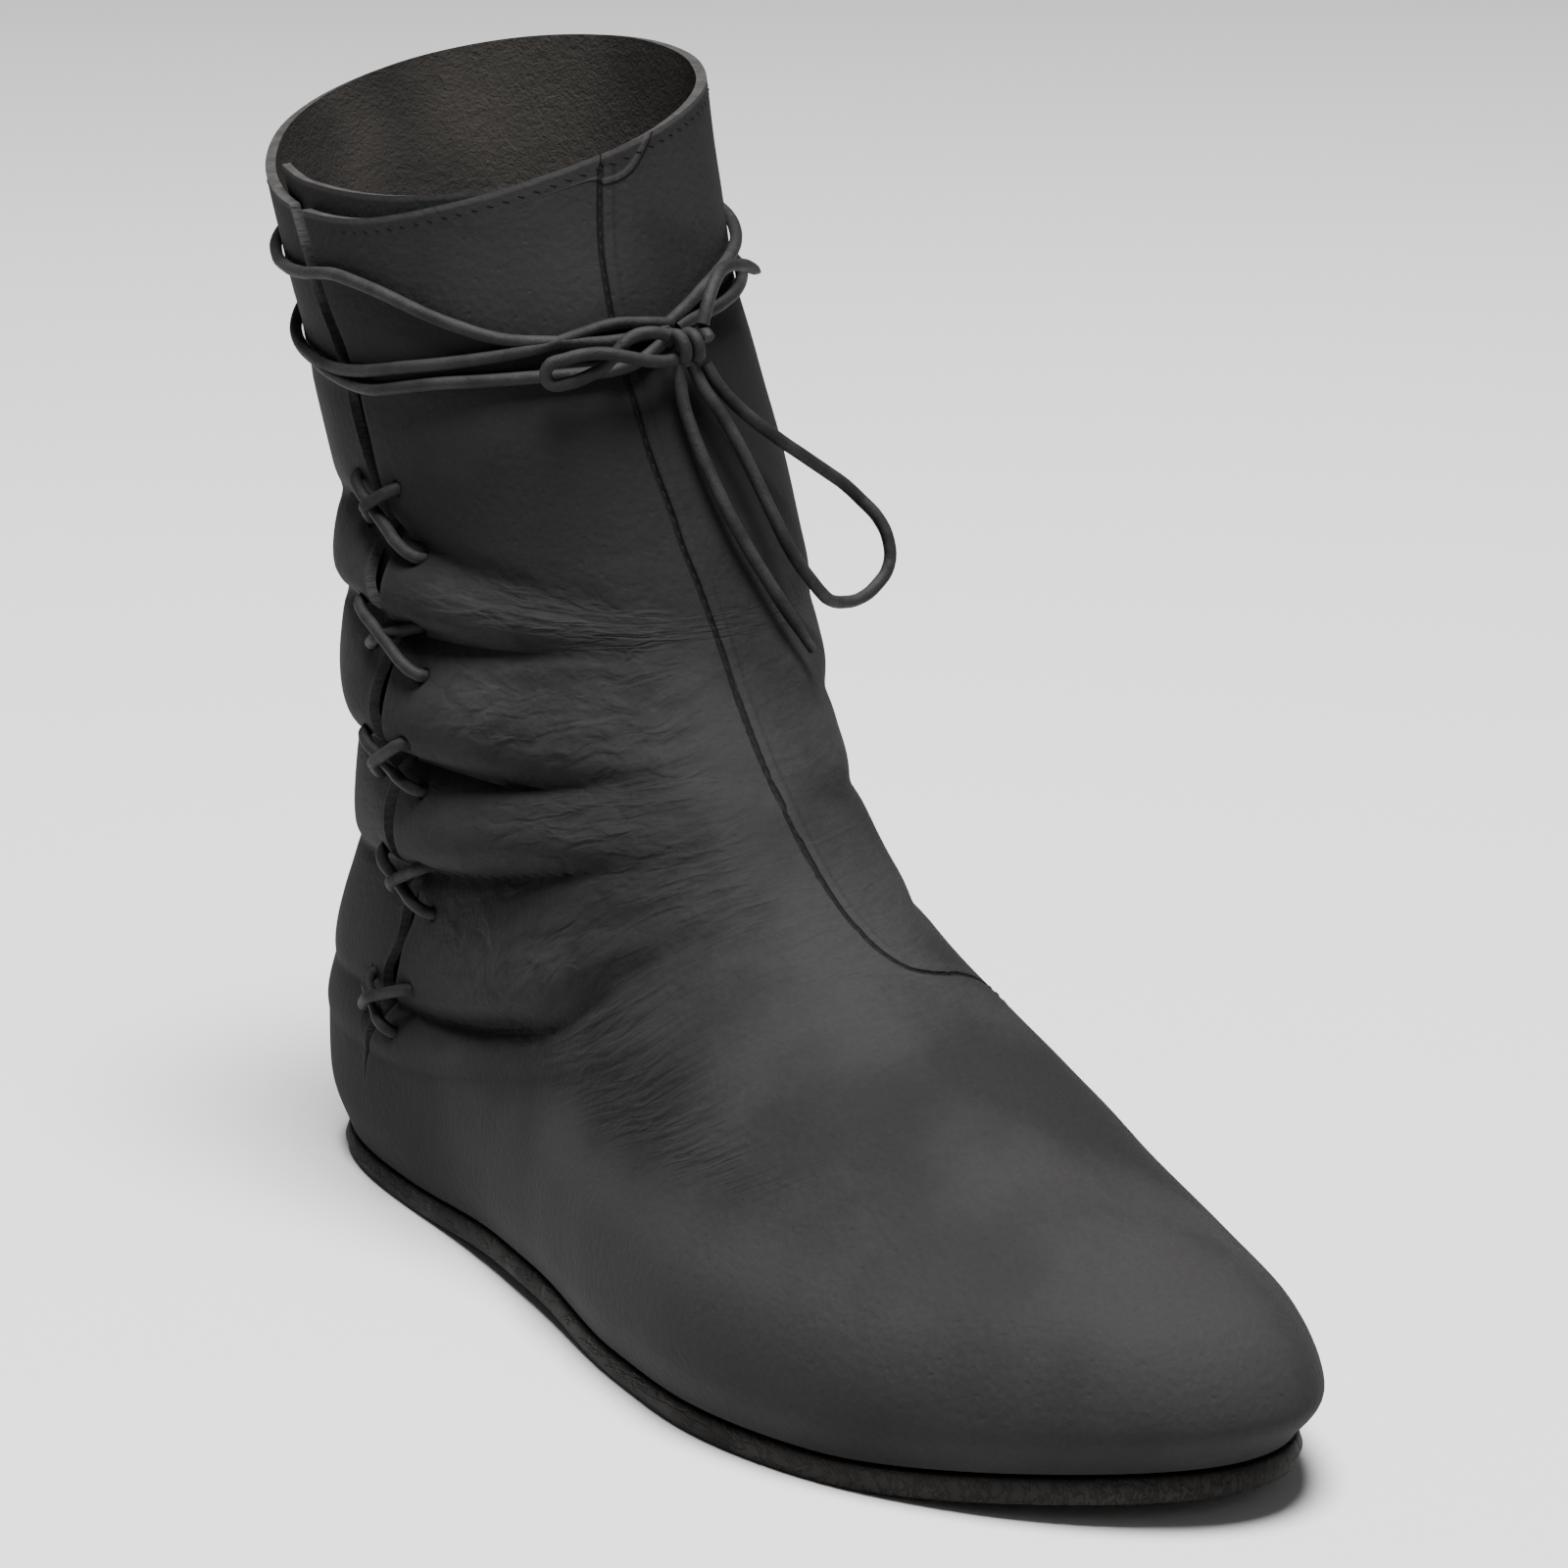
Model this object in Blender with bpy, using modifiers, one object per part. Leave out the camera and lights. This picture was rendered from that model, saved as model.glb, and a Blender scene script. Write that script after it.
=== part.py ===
import math
import bpy
import bmesh
import numpy as np
from mathutils import Matrix

# Medieval ankle boot for the right foot, laced on its outer side.
# The toe points along +X, the wearer's left (inner) side is +Y, and the floor is z = 0.

# Named sizes, in metres
footLength = 0.285
ballWidth = 0.104
shaftHeight = 0.198
wallThickness = 0.0020
soleThickness = 0.0046
insoleThickness = 0.0022
tongueThickness = 0.0016
clearance = 0.0003
lipWidth = 0.0085
insoleGap = 0.0012
archRise = 0.0022
toeSpring = 0.0050
slitGap = 0.0050
slitBottomLevel = 1.5
cordDiameter = 0.0024

# Plan of the foot: widths either side of the long axis, as shares of the ball width
planColumns = ("share", "outer", "inner")
planRows = [
    (0.00, 0.330, 0.290),
    (0.14, 0.345, 0.318),
    (0.30, 0.358, 0.300),
    (0.45, 0.405, 0.320),
    (0.60, 0.465, 0.420),
    (0.70, 0.480, 0.460),
    (0.80, 0.430, 0.465),
    (0.90, 0.320, 0.448),
    (1.00, 0.180, 0.420),
]

# Rings of the upper from the sole's edge to above the collar.
# back/front: ends of the ring along the foot, as shares of the foot length, and their
# heights as shares of the shaft height. spread: share of the plan's width. shaft: how far the
# ring has turned from the foot's plan into the leg's oval. outer/inner: half widths of that
# oval as shares of the ball width. heelRound/toeRound: lengths over which the ends round off.
# dip: how much lower the outer side is than the inner side, as a share of the shaft height.
ringColumns = ("backX", "frontX", "backZ", "frontZ", "spread", "shaft",
               "outer", "inner", "heelRound", "toeRound", "dip")
ringRows = {
    "feather": (0.012, 0.980, 0.027, 0.027, 0.94, 0.0, 0.37, 0.35, 0.064, 0.075, 0.000),
    "swell":   (-0.004, 1.000, 0.072, 0.070, 1.00, 0.0, 0.37, 0.35, 0.064, 0.078, 0.000),
    "toe":     (-0.006, 0.968, 0.132, 0.136, 1.00, 0.0, 0.37, 0.35, 0.064, 0.095, 0.000),
    "vamp":    (-0.004, 0.870, 0.192, 0.205, 0.96, 0.0, 0.37, 0.35, 0.064, 0.125, 0.000),
    "ball":    (0.003, 0.780, 0.253, 0.268, 0.91, 0.1, 0.37, 0.36, 0.064, 0.125, 0.000),
    "instep":  (0.012, 0.645, 0.323, 0.353, 0.88, 0.4, 0.37, 0.37, 0.070, 0.125, 0.000),
    "throat":  (0.021, 0.512, 0.424, 0.475, 0.84, 0.8, 0.365, 0.385, 0.070, 0.117, 0.000),
    "ankle":   (0.018, 0.435, 0.545, 0.580, 0.80, 1.0, 0.355, 0.400, 0.070, 0.117, 0.003),
    "shin":    (0.004, 0.385, 0.705, 0.720, 0.80, 1.0, 0.345, 0.395, 0.070, 0.117, 0.012),
    "calf":    (-0.024, 0.335, 0.870, 0.868, 0.80, 1.0, 0.370, 0.365, 0.070, 0.117, 0.030),
    "collar":  (-0.055, 0.295, 1.030, 1.003, 0.80, 1.0, 0.385, 0.375, 0.070, 0.117, 0.054),
    "above":   (-0.062, 0.280, 1.130, 1.103, 0.80, 1.0, 0.390, 0.380, 0.070, 0.117, 0.058),
}
# Line of the lacing slit on the outer side: how far forward it runs at each ring level
slitColumns = ("level", "forward")
slitRows = [
    (1.0, 0.160),
    (2.0, 0.168),
    (3.0, 0.190),
    (4.8, 0.222),
    (6.0, 0.230),
    (7.0, 0.233),
    (8.0, 0.205),
    (8.8, 0.172),
    (9.4, 0.140),
    (10.0, 0.118),
    (11.0, 0.095),
]
# Height of the collar's edge round the leg
collarColumns = ("degrees", "level")
collarRows = [
    (0, 10.00),
    (45, 9.97),
    (80, 9.86),
    (110, 9.87),
    (140, 10.00),
    (170, 10.09),
    (200, 10.09),
    (250, 10.03),
    (300, 10.00),
    (360, 10.00),
]
ringNames = list(ringRows)
collarLevel = float(ringNames.index("collar"))


def smoothTable(positions, values, at):
    """Smooth curve through the rows of a table."""
    positions = np.asarray(positions, float)
    values = np.asarray(values, float)
    at = np.clip(np.asarray(at, float), positions[0], positions[-1])
    slopes = np.gradient(values, positions)
    i = np.clip(np.searchsorted(positions, at, side="right") - 1, 0, len(positions) - 2)
    step = positions[i + 1] - positions[i]
    t = (at - positions[i]) / step
    return ((2 * t**3 - 3 * t**2 + 1) * values[i] + (t**3 - 2 * t**2 + t) * step * slopes[i]
            + (3 * t**2 - 2 * t**3) * values[i + 1] + (t**3 - t**2) * step * slopes[i + 1])


def easeStep(low, high, x):
    t = np.clip((np.asarray(x, float) - low) / (high - low), 0.0, 1.0)
    return t * t * (3.0 - 2.0 * t)


def soleRise(x):
    """Height of the sole's underside: flat at heel and ball, raised at the arch and the toe."""
    share = np.asarray(x, float) / footLength
    arch = easeStep(0.22, 0.38, share) * (1.0 - easeStep(0.44, 0.58, share))
    return archRise * arch + toeSpring * easeStep(0.80, 1.02, share)


def ringValues(level):
    places = np.arange(len(ringNames))
    table = np.array([ringRows[name] for name in ringNames])
    return {key: float(smoothTable(places, table[:, k], level))
            for k, key in enumerate(ringColumns)}


def ringPoints(level, angle):
    """Points of the upper's outer surface: angle 0 is the heel, pi/2 the outer side, pi the toe."""
    ring = ringValues(level)
    angle = np.asarray(angle, float)
    backX = ring["backX"] * footLength
    frontX = ring["frontX"] * footLength
    along = (1.0 - np.cos(angle)) / 2.0
    x = backX + (frontX - backX) * along
    share = np.clip(x / footLength, 0.0, 1.0)
    plan = np.array(planRows)
    outer = smoothTable(plan[:, 0], plan[:, 1], share) * ballWidth * ring["spread"]
    inner = smoothTable(plan[:, 0], plan[:, 2], share) * ballWidth * ring["spread"]
    heelEnd = 1.0 - np.exp(-np.maximum(x - backX, 0.0) / (ring["heelRound"] * footLength))
    toeEnd = 1.0 - np.exp(-np.maximum(frontX - x, 0.0) / (ring["toeRound"] * footLength))
    side = np.where(np.sin(angle) >= 0.0, -1.0, 1.0)
    foot = (inner - outer) / 2 + side * (inner + outer) / 2 * np.sqrt(heelEnd * toeEnd)
    shaftOuter = ring["outer"] * ballWidth
    shaftInner = ring["inner"] * ballWidth
    shaft = (shaftInner - shaftOuter) / 2 - (shaftInner + shaftOuter) / 2 * np.sin(angle)
    y = foot * (1.0 - ring["shaft"]) + shaft * ring["shaft"]
    height = ring["backZ"] + (ring["frontZ"] - ring["backZ"]) * along
    z = (height - ring["dip"] * np.sin(angle)) * shaftHeight
    fade = 1.0 - easeStep(0.2, 0.5, z / shaftHeight)
    z = z + soleRise(x) * fade
    return np.stack([x, y, z], axis=-1)


def edgedPoints(level, angle):
    """Ring points whose upper rows follow the collar's edge."""
    edge = np.array(collarRows, float)
    rise = smoothTable(edge[:, 0], edge[:, 1], np.degrees(angle) % 360.0) - collarLevel
    follow = float(easeStep(collarLevel - 1.4, collarLevel, level))
    return np.array([ringPoints(level + lift * follow, turn) for lift, turn in zip(rise, angle)])


def slitAngle(level):
    slit = np.array(slitRows)
    ring = ringValues(level)
    forward = float(smoothTable(slit[:, 0], slit[:, 1], level))
    along = (forward - ring["backX"]) / (ring["frontX"] - ring["backX"])
    return math.acos(1.0 - 2.0 * along)


def surfaceNormal(level, angle):
    """Outward unit normals of the outer surface."""
    step = 1e-3
    acrossRing = ringPoints(level, angle + step) - ringPoints(level, angle - step)
    upward = ringPoints(level + step, angle) - ringPoints(level - step, angle)
    normal = np.cross(acrossRing, upward)
    return normal / np.linalg.norm(normal, axis=-1, keepdims=True)


def ringSpeed(level, angle):
    step = 1e-3
    ends = ringPoints(level, np.array([angle - step, angle + step]))
    return float(np.linalg.norm(ends[1] - ends[0])) / (2 * step)


def wallPoints(level, angle, depth):
    """Points at a depth below the outer surface; a negative depth stands off from it."""
    return ringPoints(level, angle) - depth * surfaceNormal(level, angle)


# Mesh helpers
def addObject(name, vertices, faces, material, collection):
    mesh = bpy.data.meshes.new(name)
    mesh.from_pydata([tuple(v) for v in vertices], [], faces)
    mesh.validate()
    mesh.materials.append(material)
    item = bpy.data.objects.new(name, mesh)
    collection.objects.link(item)
    work = bmesh.new()
    work.from_mesh(mesh)
    bmesh.ops.recalc_face_normals(work, faces=work.faces)
    work.to_mesh(mesh)
    work.free()
    return item


def shadeSmooth(item, angle):
    for face in item.data.polygons:
        face.use_smooth = True
    item.data.set_sharp_from_angle(angle=math.radians(angle))


def gridFaces(rows, columns, closed):
    wrap = columns if closed else columns - 1
    return [(r * columns + c, r * columns + (c + 1) % columns,
             (r + 1) * columns + (c + 1) % columns, (r + 1) * columns + c)
            for r in range(rows - 1) for c in range(wrap)]


def thicken(item, thickness):
    wall = item.modifiers.new("wall", "SOLIDIFY")
    wall.thickness = thickness
    wall.offset = -1.0
    wall.use_even_offset = True
    wall.use_quality_normals = True
    wall.use_rim = True
    return wall


def makeMaterial(name, colour, roughness):
    material = bpy.data.materials.new(name)
    material.use_nodes = True
    shader = material.node_tree.nodes["Principled BSDF"]
    shader.inputs["Base Color"].default_value = (*colour, 1.0)
    shader.inputs["Roughness"].default_value = roughness
    material.diffuse_color = (*colour, 1.0)
    return material


def smoothRoute(points, spacing, closed=False):
    """Even points along a smooth curve through the given route."""
    points = np.asarray(points, float)
    if closed:
        points = np.vstack([points, points[:1]])
    lengths = np.concatenate([[0.0], np.cumsum(np.linalg.norm(np.diff(points, axis=0), axis=1))])
    count = max(3, int(round(lengths[-1] / spacing)) + 1)
    at = np.linspace(0.0, lengths[-1], count)
    return np.stack([smoothTable(lengths, points[:, k], at) for k in range(3)], axis=1)


def tubeMesh(points, radius, sides):
    """Rings of a round bar along the points, with flat ends."""
    points = np.asarray(points, float)
    forward = np.gradient(points, axis=0)
    forward /= np.linalg.norm(forward, axis=1, keepdims=True)
    across = np.cross(forward[0], (0.0, 0.0, 1.0))
    if np.linalg.norm(across) < 0.1:
        across = np.cross(forward[0], (1.0, 0.0, 0.0))
    vertices = []
    for point, direction in zip(points, forward):
        across = across - direction * np.dot(across, direction)
        across /= np.linalg.norm(across)
        upward = np.cross(direction, across)
        for k in range(sides):
            turn = 2.0 * math.pi * (k + 0.5) / sides
            vertices.append(point + radius * (math.cos(turn) * across + math.sin(turn) * upward))
    faces = gridFaces(len(points), sides, True)
    faces.append(tuple(range(sides)))
    faces.append(tuple(range((len(points) - 1) * sides, len(points) * sides)))
    return vertices, faces


def addCord(name, route, material, collection):
    """A round cord as one poly spline with closed ends."""
    curve = bpy.data.curves.new(name, "CURVE")
    curve.dimensions = "3D"
    curve.bevel_depth = cordDiameter / 2
    curve.bevel_resolution = 2
    curve.use_fill_caps = True
    spline = curve.splines.new("POLY")
    spline.points.add(len(route) - 1)
    for point, place in zip(spline.points, route):
        point.co = (*place, 1.0)
    curve.materials.append(material)
    item = bpy.data.objects.new(name, curve)
    collection.objects.link(item)
    return item


def joinSolids(item, others, cutters):
    """Fuses other solids into an item; the originals stay hidden among the cutters."""
    for other in others:
        cutters.objects.link(other)
        other.hide_render = True
        other.display_type = "WIRE"
        union = item.modifiers.new("join", "BOOLEAN")
        union.operation = "UNION"
        union.solver = "EXACT"
        union.object = other


# Scene set up
for old in list(bpy.data.objects):
    bpy.data.objects.remove(old, do_unlink=True)
boot = bpy.data.collections.new("medieval_boot")
cutters = bpy.data.collections.new("cutters")
bpy.context.scene.collection.children.link(boot)
bpy.context.scene.collection.children.link(cutters)

upperLeather = makeMaterial("upper_leather", (0.040, 0.039, 0.040), 0.62)
soleLeather = makeMaterial("sole_leather", (0.030, 0.027, 0.025), 0.75)
insoleLeather = makeMaterial("insole_leather", (0.110, 0.085, 0.065), 0.80)
tongueLeather = makeMaterial("tongue_leather", (0.036, 0.035, 0.036), 0.66)
laceLeather = makeMaterial("lace_leather", (0.150, 0.145, 0.145), 0.60)
soleTop = soleThickness + clearance

# Columns of the rings: from the slit to the toe, to the heel, and back to the slit
outerColumns = 17
innerColumns = 26
heelColumns = 8


def ringAngles(level, edgeGap):
    slit = slitAngle(level)
    half = edgeGap / 2 / ringSpeed(level, slit)
    return np.concatenate([
        np.linspace(slit + half, math.pi, outerColumns, endpoint=False),
        np.linspace(math.pi, 2 * math.pi, innerColumns, endpoint=False),
        np.linspace(2 * math.pi, 2 * math.pi + slit - half, heelColumns + 1),
    ])


def slitWidth(level):
    """The slit is a narrow cut at its foot and opens to its full gap."""
    return 0.0014 + (slitGap - 0.0014) * float(easeStep(slitBottomLevel, slitBottomLevel + 2, level))


def insetRing(points, inset):
    """A closed ring moved inwards in plan."""
    before = np.roll(points, 1, axis=0)
    after = np.roll(points, -1, axis=0)
    run = after - before
    inward = np.stack([run[:, 1], -run[:, 0]], axis=1)
    inward /= np.linalg.norm(inward, axis=1, keepdims=True)
    centre = points[:, :2].mean(axis=0)
    if np.sum(inward * (centre - points[:, :2])) < 0:
        inward = -inward
    moved = points.copy()
    moved[:, :2] += inset * inward
    return moved


# Upper: lip under the foot, foot and shaft as one sheet, with the slit left open
upperLevels = [0.0, 0.35, 0.7, 1.0, slitBottomLevel, 2.0, 2.5, 3.0, 3.5, 4.0, 4.5, 5.0, 5.5,
               6.0, 6.5, 7.0, 7.5, 8.0, 8.5, 9.0, 9.5, 10.0]
upperVertices = []
footRing = ringPoints(0.0, ringAngles(0.0, slitWidth(0.0)))
for inset in (lipWidth, lipWidth * 0.5, 0.0014):
    lipRing = insetRing(footRing, inset)
    lipRing[:, 2] = soleTop + soleRise(lipRing[:, 0])
    upperVertices.extend(lipRing)
for level in upperLevels:
    upperVertices.extend(edgedPoints(level, ringAngles(level, slitWidth(level))))
columnCount = len(footRing)
rowCount = 3 + len(upperLevels)
upperFaces = gridFaces(rowCount, columnCount, False)
closedRows = 3 + upperLevels.index(slitBottomLevel)
for row in range(closedRows):
    first = row * columnCount
    last = first + columnCount - 1
    upperFaces.append((last, first, first + columnCount, last + columnCount))
upper = addObject("upper", upperVertices, upperFaces, upperLeather, boot)
thicken(upper, wallThickness)
shadeSmooth(upper, 50)

# Outsole: one thin layer cut to the foot's outline, with softened edges
soleAngles = np.linspace(0.0, 2 * math.pi, 64, endpoint=False)
soleOutline = insetRing(ringPoints(0.0, soleAngles), -0.0006)
soleVertices = []
for inset, rise in ((0.0007, 0.0), (0.0, 0.0007), (0.0, soleThickness - 0.0006),
                    (0.0005, soleThickness)):
    layer = insetRing(soleOutline, inset)
    layer[:, 2] = rise + soleRise(soleOutline[:, 0])
    soleVertices.extend(layer)
soleFaces = gridFaces(4, 64, True)
for first in (0, 3 * 64):
    soleFaces.append((first, first + 1, first + 63))
    soleFaces.append((first + 31, first + 32, first + 33))
    soleFaces.extend((first + k, first + k + 1, first + 63 - k, first + 64 - k)
                     for k in range(1, 31))
outsole = addObject("outsole", soleVertices, soleFaces, soleLeather, boot)
shadeSmooth(outsole, 35)

# Insole: lies on the outsole inside the upper's lip
insoleOutline = insetRing(ringPoints(0.0, soleAngles), lipWidth + insoleGap)
insoleVertices = []
for inset, rise in ((0.0, 0.0), (0.0, insoleThickness - 0.0005), (0.0005, insoleThickness)):
    layer = insetRing(insoleOutline, inset)
    layer[:, 2] = soleTop + rise + soleRise(insoleOutline[:, 0])
    insoleVertices.extend(layer)
insoleFaces = gridFaces(3, 64, True)
for first in (0, 2 * 64):
    insoleFaces.append((first, first + 1, first + 63))
    insoleFaces.append((first + 31, first + 32, first + 33))
    insoleFaces.extend((first + k, first + k + 1, first + 63 - k, first + 64 - k)
                       for k in range(1, 31))
insole = addObject("insole", insoleVertices, insoleFaces, insoleLeather, boot)
shadeSmooth(insole, 35)

# Tongue: a wide underlap behind the slit, standing a little above the collar
tongueColumns = ("level", "backReach", "frontReach")
tongueRows = [
    (2.2, 0.007, 0.009),
    (3.0, 0.009, 0.013),
    (4.0, 0.011, 0.017),
    (5.0, 0.012, 0.021),
    (6.0, 0.012, 0.027),
    (7.0, 0.012, 0.034),
    (8.0, 0.012, 0.041),
    (9.0, 0.012, 0.049),
    (10.08, 0.012, 0.058),
]
tongueTable = np.array(tongueRows)
tongueVertices = []
tongueLevels = np.append(np.arange(2.2, 9.9, 0.45), tongueRows[-1][0])
tongueSteps = 11
for level in tongueLevels:
    backReach = float(smoothTable(tongueTable[:, 0], tongueTable[:, 1], level))
    frontReach = float(smoothTable(tongueTable[:, 0], tongueTable[:, 2], level))
    slit = slitAngle(level)
    speed = ringSpeed(level, slit)
    angles = slit + np.linspace(-backReach, frontReach, tongueSteps) / speed
    rowPoints = wallPoints(level, angles, wallThickness + clearance + 0.0001)
    tongueVertices.extend(rowPoints)
tongueFaces = gridFaces(len(tongueLevels), tongueSteps, False)
tongue = addObject("tongue", tongueVertices, tongueFaces, tongueLeather, boot)
thicken(tongue, tongueThickness)
shadeSmooth(tongue, 50)

# Lacing: crossings over the slit; reach is how far each strand spans either side
barRadius = cordDiameter / 2
barLift = clearance + barRadius + 0.0002
crossColumns = ("level", "reach", "rise")
crossRows = {
    "lace_cross_1": (3.05, 0.0095, 0.0050),
    "lace_cross_2": (4.90, 0.0095, 0.0050),
    "lace_cross_3": (6.00, 0.0100, 0.0050),
    "lace_cross_4": (7.05, 0.0100, 0.0050),
    "lace_cross_5": (7.90, 0.0095, 0.0045),
}


def strandRoute(level, reach, rise):
    """Points of one strand over the slit, rising from its back end to its front end."""
    slit = slitAngle(level)
    middle = ringPoints(level, slit)
    levelSpeed = np.linalg.norm(ringPoints(level + 0.05, slitAngle(level + 0.05)) - middle) / 0.05
    route = []
    for share in np.linspace(-1.0, 1.0, 7):
        at = level + share * rise / levelSpeed
        angle = slitAngle(at) + share * reach / ringSpeed(at, slitAngle(at))
        route.append(wallPoints(at, angle, -barLift))
    return route


for name, (level, reach, rise) in crossRows.items():
    rising = tubeMesh(strandRoute(level, reach, rise), barRadius, 8)
    falling = tubeMesh(strandRoute(level, reach, -rise), barRadius, 8)
    cross = addObject(name, *rising, laceLeather, boot)
    other = addObject(name + "_falling", *falling, laceLeather, cutters)
    cutters.objects.unlink(other)
    joinSolids(cross, [other], cutters)
    shadeSmooth(cross, 50)

# Wrapped strands: routes round the shaft by ring level and angle in degrees
wrapColumns = ("level", "angle")
wrapRows = {
    "high": [(8.89, 187), (8.90, 171), (8.96, 155), (9.03, 142), (9.21, 128), (9.41, 116),
             (9.54, 102), (9.48, 88), (9.40, 63), (9.36, 30), (9.34, 0), (9.30, -30),
             (9.26, -60), (9.20, -90), (9.14, -120), (9.06, -150), (8.98, -164), (8.92, -172)],
    "middle": [(8.91, 189), (8.99, 172), (8.94, 155), (8.89, 134), (8.84, 116), (8.76, 97),
               (8.76, 78), (8.84, 50), (8.92, 20), (8.95, 0), (8.97, -30), (8.96, -60),
               (8.94, -90), (8.92, -120), (8.90, -150), (8.90, -164), (8.88, -170)],
    "low": [(8.87, 188), (8.79, 180), (8.74, 170), (8.76, 150), (8.74, 124), (8.66, 104)],
}


def wrapRoute(rows, lift):
    table = np.array(rows)
    steps = np.arange(len(rows))
    at = np.linspace(0, len(rows) - 1, 3 * len(rows) - 2)
    levels = smoothTable(steps, table[:, 0], at)
    angles = np.radians(smoothTable(steps, table[:, 1], at))
    return [wallPoints(level, angle, -lift) for level, angle in zip(levels, angles)]


wrapTubes = {key: tubeMesh(wrapRoute(rows, barLift), barRadius, 8)
             for key, rows in wrapRows.items()}
laceWrap = addObject("lace_wrap", *wrapTubes["high"], laceLeather, boot)
wrapParts = []
for key in ("middle", "low"):
    piece = addObject("lace_wrap_" + key, *wrapTubes[key], laceLeather, cutters)
    cutters.objects.unlink(piece)
    wrapParts.append(piece)
joinSolids(laceWrap, wrapParts, cutters)
shadeSmooth(laceWrap, 50)

# Knot, bow and loose ends, as routes in millimetres
knotMiddle = (0.1038, 0.0056, 0.1680)
knotRadius = 0.0022
knotTurns = 2.4
knotPoints = 17
knotRoute = []
for k in range(knotPoints):
    turn = 2 * math.pi * knotTurns * k / (knotPoints - 1)
    knotRoute.append((knotMiddle[0] - knotRadius * math.cos(turn),
                      knotMiddle[1] + (k / (knotPoints - 1) - 0.5) * 2.7 * knotTurns * 0.001,
                      knotMiddle[2] + knotRadius * math.sin(turn)))
addCord("lace_knot", knotRoute, laceLeather, boot)
cordColumns = ("x", "y", "z")
cordRows = {
    "bow_loop_outer": [(103.8, 1.45, 170.3), (103.4, -1.6, 171.0), (102.4, -5.6, 170.2),
                       (102.0, -10.4, 165.6), (99.8, -15.8, 162.8), (97.6, -19.2, 162.2),
                       (97.4, -20.4, 164.6), (99.4, -17.4, 166.8), (103.0, -11.2, 168.0),
                       (105.0, -5.0, 166.6), (104.4, -0.6, 165.8), (103.8, 2.8, 165.8)],
    "bow_loop_inner": [(104.0, 8.8, 164.4), (105.4, 10.8, 160.4), (106.4, 14.2, 156.4),
                       (106.4, 21.6, 150.4), (102.8, 32.0, 143.6), (101.0, 42.0, 136.2),
                       (103.6, 46.6, 129.4), (105.0, 46.4, 123.6), (106.4, 41.0, 118.9),
                       (109.4, 33.0, 118.8), (115.0, 24.6, 124.6), (116.2, 19.4, 131.2),
                       (113.8, 16.2, 139.4), (110.4, 13.0, 148.6), (108.2, 9.6, 156.0),
                       (105.8, 7.2, 160.8), (104.0, 6.2, 164.4)],
    "lace_end_low": [(104.0, 3.6, 164.4), (105.4, 3.2, 159.4), (108.2, 4.0, 152.6),
                     (111.0, 5.4, 146.6), (115.4, 8.8, 136.1), (119.0, 14.6, 124.5),
                     (122.4, 20.6, 113.6)],
    "lace_end_high": [(103.8, 8.4, 171.6), (102.6, 10.2, 175.6), (99.6, 13.4, 178.8),
                      (95.4, 17.6, 180.0), (91.0, 23.4, 179.4), (84.6, 30.6, 176.6)],
}
for name, rows in cordRows.items():
    route = smoothRoute(np.array(rows) / 1000.0, cordDiameter * 2.4)
    addCord(name, route, laceLeather, boot)

# Origin: under the middle of the boot, measured without the cords
viewLayer = bpy.context.view_layer
viewLayer.update()
depsgraph = bpy.context.evaluated_depsgraph_get()
corners = []
for item in boot.objects:
    if item.type == "MESH":
        solid = item.evaluated_get(depsgraph)
        corners.extend(tuple(corner) for corner in solid.bound_box)
corners = np.array(corners)
middle = (corners.min(axis=0) + corners.max(axis=0)) / 2
shift = Matrix.Translation((-middle[0], -middle[1], -corners[:, 2].min()))
for item in list(boot.objects) + list(cutters.objects):
    item.data.transform(shift)
print("origin moved to", [round(float(value), 6) for value in shift.translation])
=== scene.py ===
import math
from functools import lru_cache
import bpy
import numpy as np
from mathutils import Matrix, Vector, noise


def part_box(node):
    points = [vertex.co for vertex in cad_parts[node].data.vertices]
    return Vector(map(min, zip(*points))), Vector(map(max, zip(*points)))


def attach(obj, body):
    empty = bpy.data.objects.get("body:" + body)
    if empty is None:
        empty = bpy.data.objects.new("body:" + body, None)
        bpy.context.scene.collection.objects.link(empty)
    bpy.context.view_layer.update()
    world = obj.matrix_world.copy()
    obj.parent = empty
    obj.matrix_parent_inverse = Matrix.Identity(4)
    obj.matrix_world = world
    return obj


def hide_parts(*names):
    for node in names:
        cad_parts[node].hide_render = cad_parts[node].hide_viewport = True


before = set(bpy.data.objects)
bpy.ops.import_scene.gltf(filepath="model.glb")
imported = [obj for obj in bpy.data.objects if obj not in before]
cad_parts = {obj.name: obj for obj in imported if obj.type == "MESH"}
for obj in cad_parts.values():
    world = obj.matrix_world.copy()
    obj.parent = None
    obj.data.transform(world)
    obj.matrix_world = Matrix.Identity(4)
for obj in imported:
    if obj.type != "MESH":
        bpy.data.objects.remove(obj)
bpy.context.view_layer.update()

# Medieval ankle boot for the right foot. The toe is along +X, the laced outer side is -Y.
# Sizes are in metres. A place on the leather is a ring level (0 at the sole, 10 at the collar)
# and an angle round the boot (0 at the heel, 90 on the outer side, 180 at the front).

boot = {
    "footLength": 0.285,
    "ballWidth": 0.104,
    "shaftHeight": 0.198,
    "wall": 0.0020,
    "soleThickness": 0.0046,
    "insoleThickness": 0.0022,
    "tongueThickness": 0.0016,
    "clearance": 0.0003,
    "lipWidth": 0.0085,
    "insoleGap": 0.0012,
    "archRise": 0.0022,
    "toeSpring": 0.0050,
    "slitGap": 0.0050,
    "slitFoot": 1.5,
    "lace": 0.0024,
}

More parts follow.
